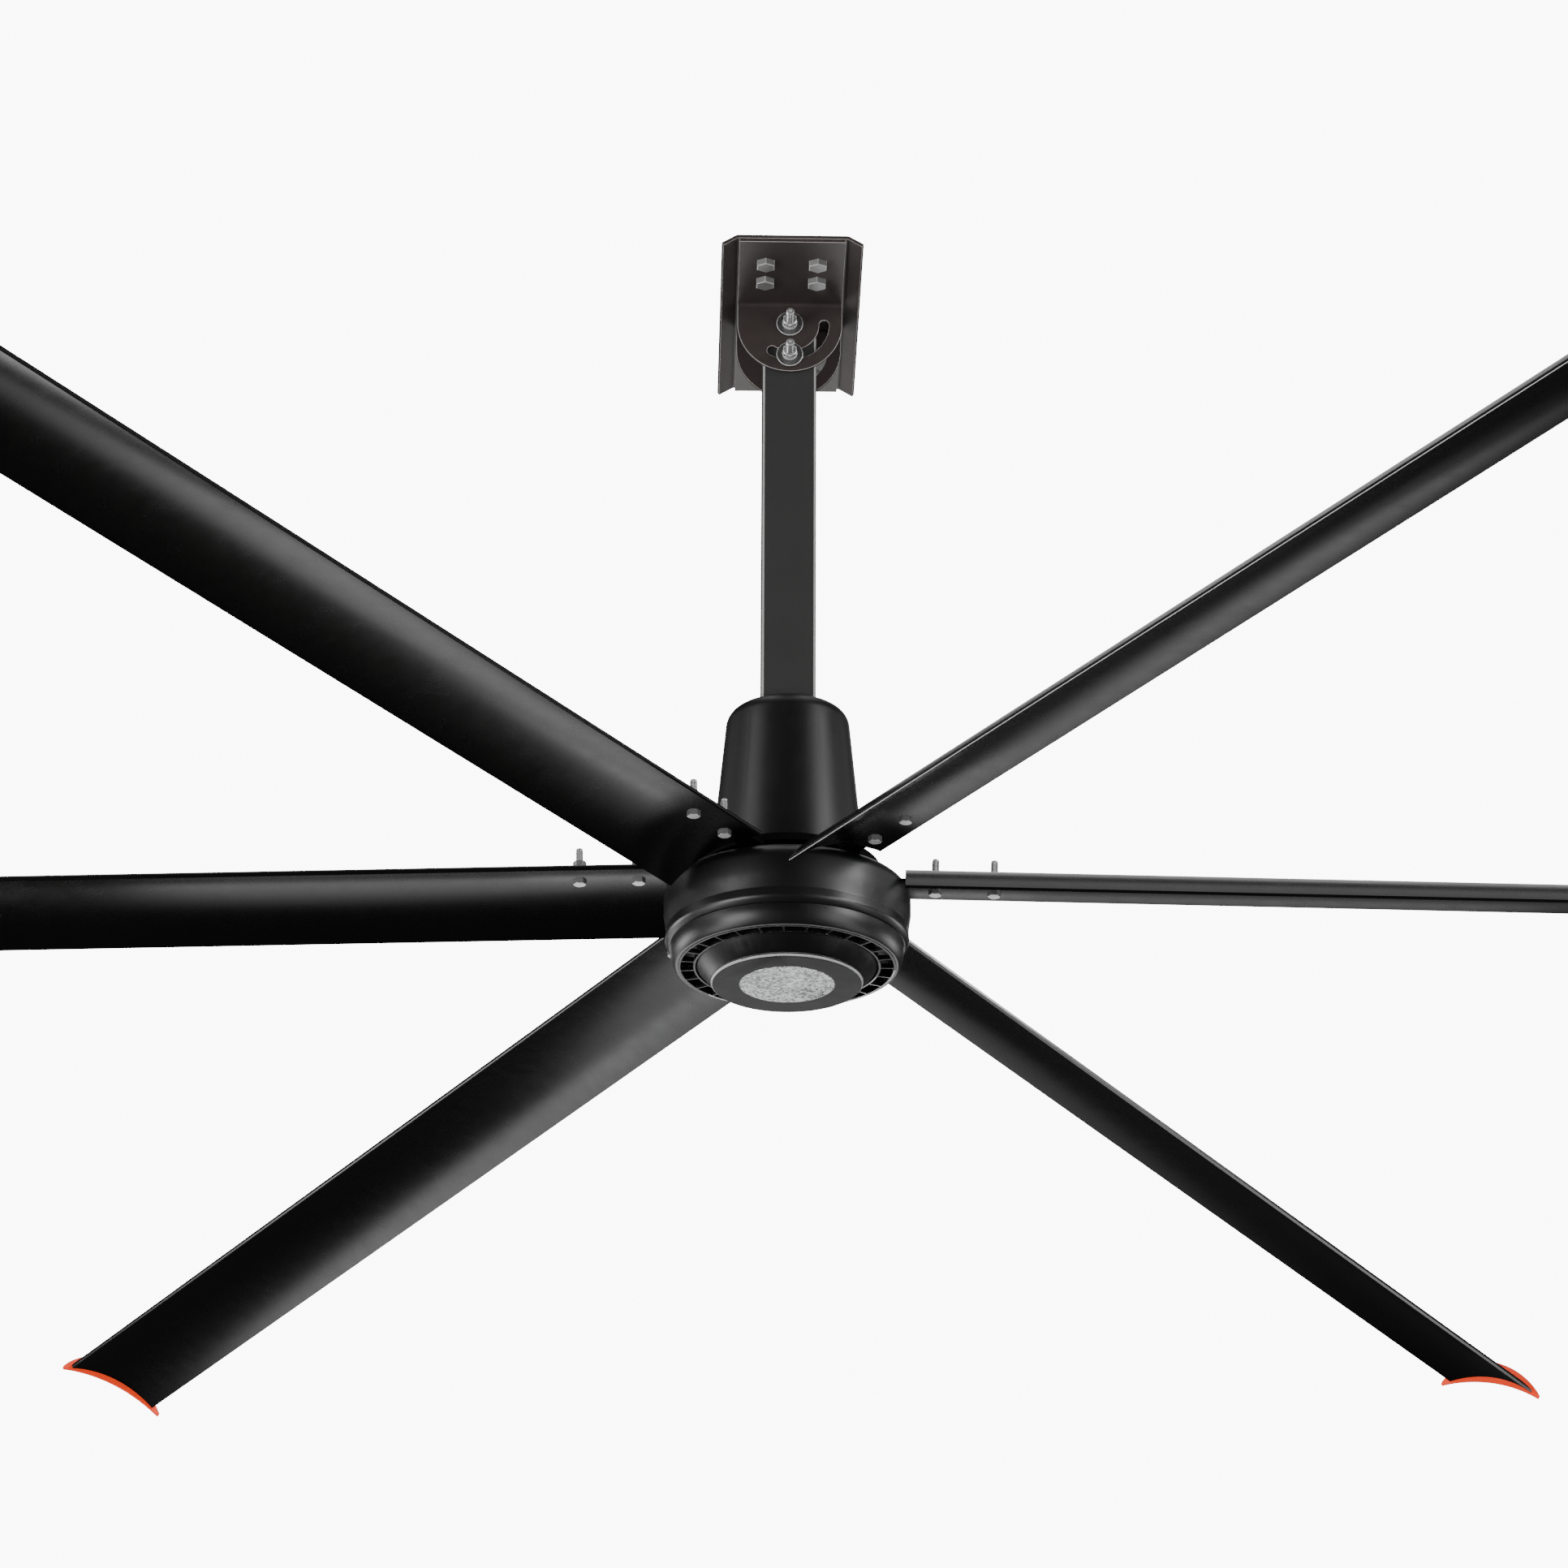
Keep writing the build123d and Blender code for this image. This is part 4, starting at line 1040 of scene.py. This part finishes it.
def soft_box(name, place, width, tall, watts, aim=rotor_middle):
    """An area light at a place, turned towards its aim and unseen itself."""
    lamp = bpy.data.lights.new(name, "AREA")
    lamp.shape = "RECTANGLE"
    lamp.size = width
    lamp.size_y = tall
    lamp.energy = watts
    light = bpy.data.objects.new(name, lamp)
    light.location = place
    light.rotation_euler = (aim - light.location).to_track_quat("-Z", "Y").to_euler()
    light.visible_camera = False
    bpy.context.scene.collection.objects.link(light)
    return light


soft_box("left_box", (-6.2, -3.3, 1.7), width=3.0, tall=2.8, watts=130)
soft_box("right_box", (5.9, -3.7, 1.7), width=3.0, tall=2.8, watts=240)
soft_box("left_side_box", (-5.8, 1.4, 1.6), width=6.0, tall=2.4, watts=22)
soft_box("right_side_box", (5.8, 1.4, 1.6), width=6.0, tall=2.4, watts=26)
soft_box("low_left_box", (-4.6, -3.9, -1.75), width=2.6, tall=2.6, watts=200)
soft_box("low_right_box", (4.5, -4.0, -1.75), width=2.6, tall=2.6, watts=90)
soft_box("low_left_side_box", (-4.4, -1.6, -3.2), width=3.0, tall=1.6, watts=60)
soft_box("low_right_side_box", (4.4, -1.6, -3.2), width=3.0, tall=1.6, watts=30)
soft_box("rear_left_box", (-4.6, 2.4, -1.2), width=2.0, tall=1.2, watts=70)
soft_box("rear_right_box", (4.6, 2.4, -1.2), width=2.0, tall=1.2, watts=44)
soft_box("high_back_box", (0.8, 5.0, 3.2), width=3.0, tall=3.0, watts=27)
soft_box("top_box", (0.0, 0.0, 6.5), width=6.0, tall=6.0, watts=136)
front_fill = soft_box("front_fill", (0.0, -7.5, -4.5), width=2.0, tall=2.0, watts=200)
front_fill.visible_glossy = False


def back_panel(name, depth, span, levels, glow):
    """A soft panel behind the rotor that faces forwards, between two sides and two levels. Its power
    follows from the glow that it shows in the coats."""
    width = span[1] - span[0]
    tall = levels[1] - levels[0]
    middle = Vector((sum(span) / 2, depth, sum(levels) / 2))
    watts = math.pi * width * tall * glow
    soft_box(name, middle, width, tall, watts, aim=middle + to_front)


back_panel("right_upper_panel", depth=2.3, span=(0.20, 1.55), levels=(-1.95, -1.50), glow=0.4)
back_panel("right_lower_panel", depth=2.3, span=(0.05, 1.30), levels=(-2.75, -1.95), glow=1.9)
back_panel("middle_panel", depth=1.3, span=(-0.20, 0.05), levels=(-2.05, -1.50), glow=1.7)
back_panel("left_panel", depth=1.3, span=(-0.95, -0.20), levels=(-2.50, -1.50), glow=2.1)
back_panel("left_low_panel", depth=1.3, span=(-0.95, -0.40), levels=(-3.20, -2.50), glow=1.2)
back_panel("far_left_panel", depth=2.3, span=(-2.75, -1.45), levels=(-3.00, -1.40), glow=3.8)
web_middle = Vector((0, 0, 0))
soft_box("web_box", (0.0, 1.0, -0.52), width=0.9, tall=0.5, watts=4.0, aim=web_middle)
below_lamp = Vector((0, 0, -1.10))
soft_box("hub_strip", (0.0, 0.55, -1.16), width=0.7, tall=0.06, watts=0.3, aim=below_lamp)

camera_place = (-0.1899, -9.1335, -4.7343)
pitch_up = math.radians(23.70)
yaw = math.radians(1.16)
roll = math.radians(0.20)
level_reach = math.cos(pitch_up)
forward = Vector((math.sin(yaw) * level_reach, math.cos(yaw) * level_reach, math.sin(pitch_up)))
level_right = forward.cross(up).normalized()
level_up = level_right.cross(forward)
right = math.cos(roll) * level_right + math.sin(roll) * level_up
above = math.cos(roll) * level_up - math.sin(roll) * level_right
turn_matrix = Matrix((right, above, -forward)).transposed()
eye = bpy.data.cameras.new("camera")
eye.sensor_width = 36.0
eye.lens = 167.83
camera = bpy.data.objects.new("camera", eye)
camera.matrix_world = Matrix.Translation(camera_place) @ turn_matrix.to_4x4()
bpy.context.scene.collection.objects.link(camera)
bpy.context.scene.camera = camera
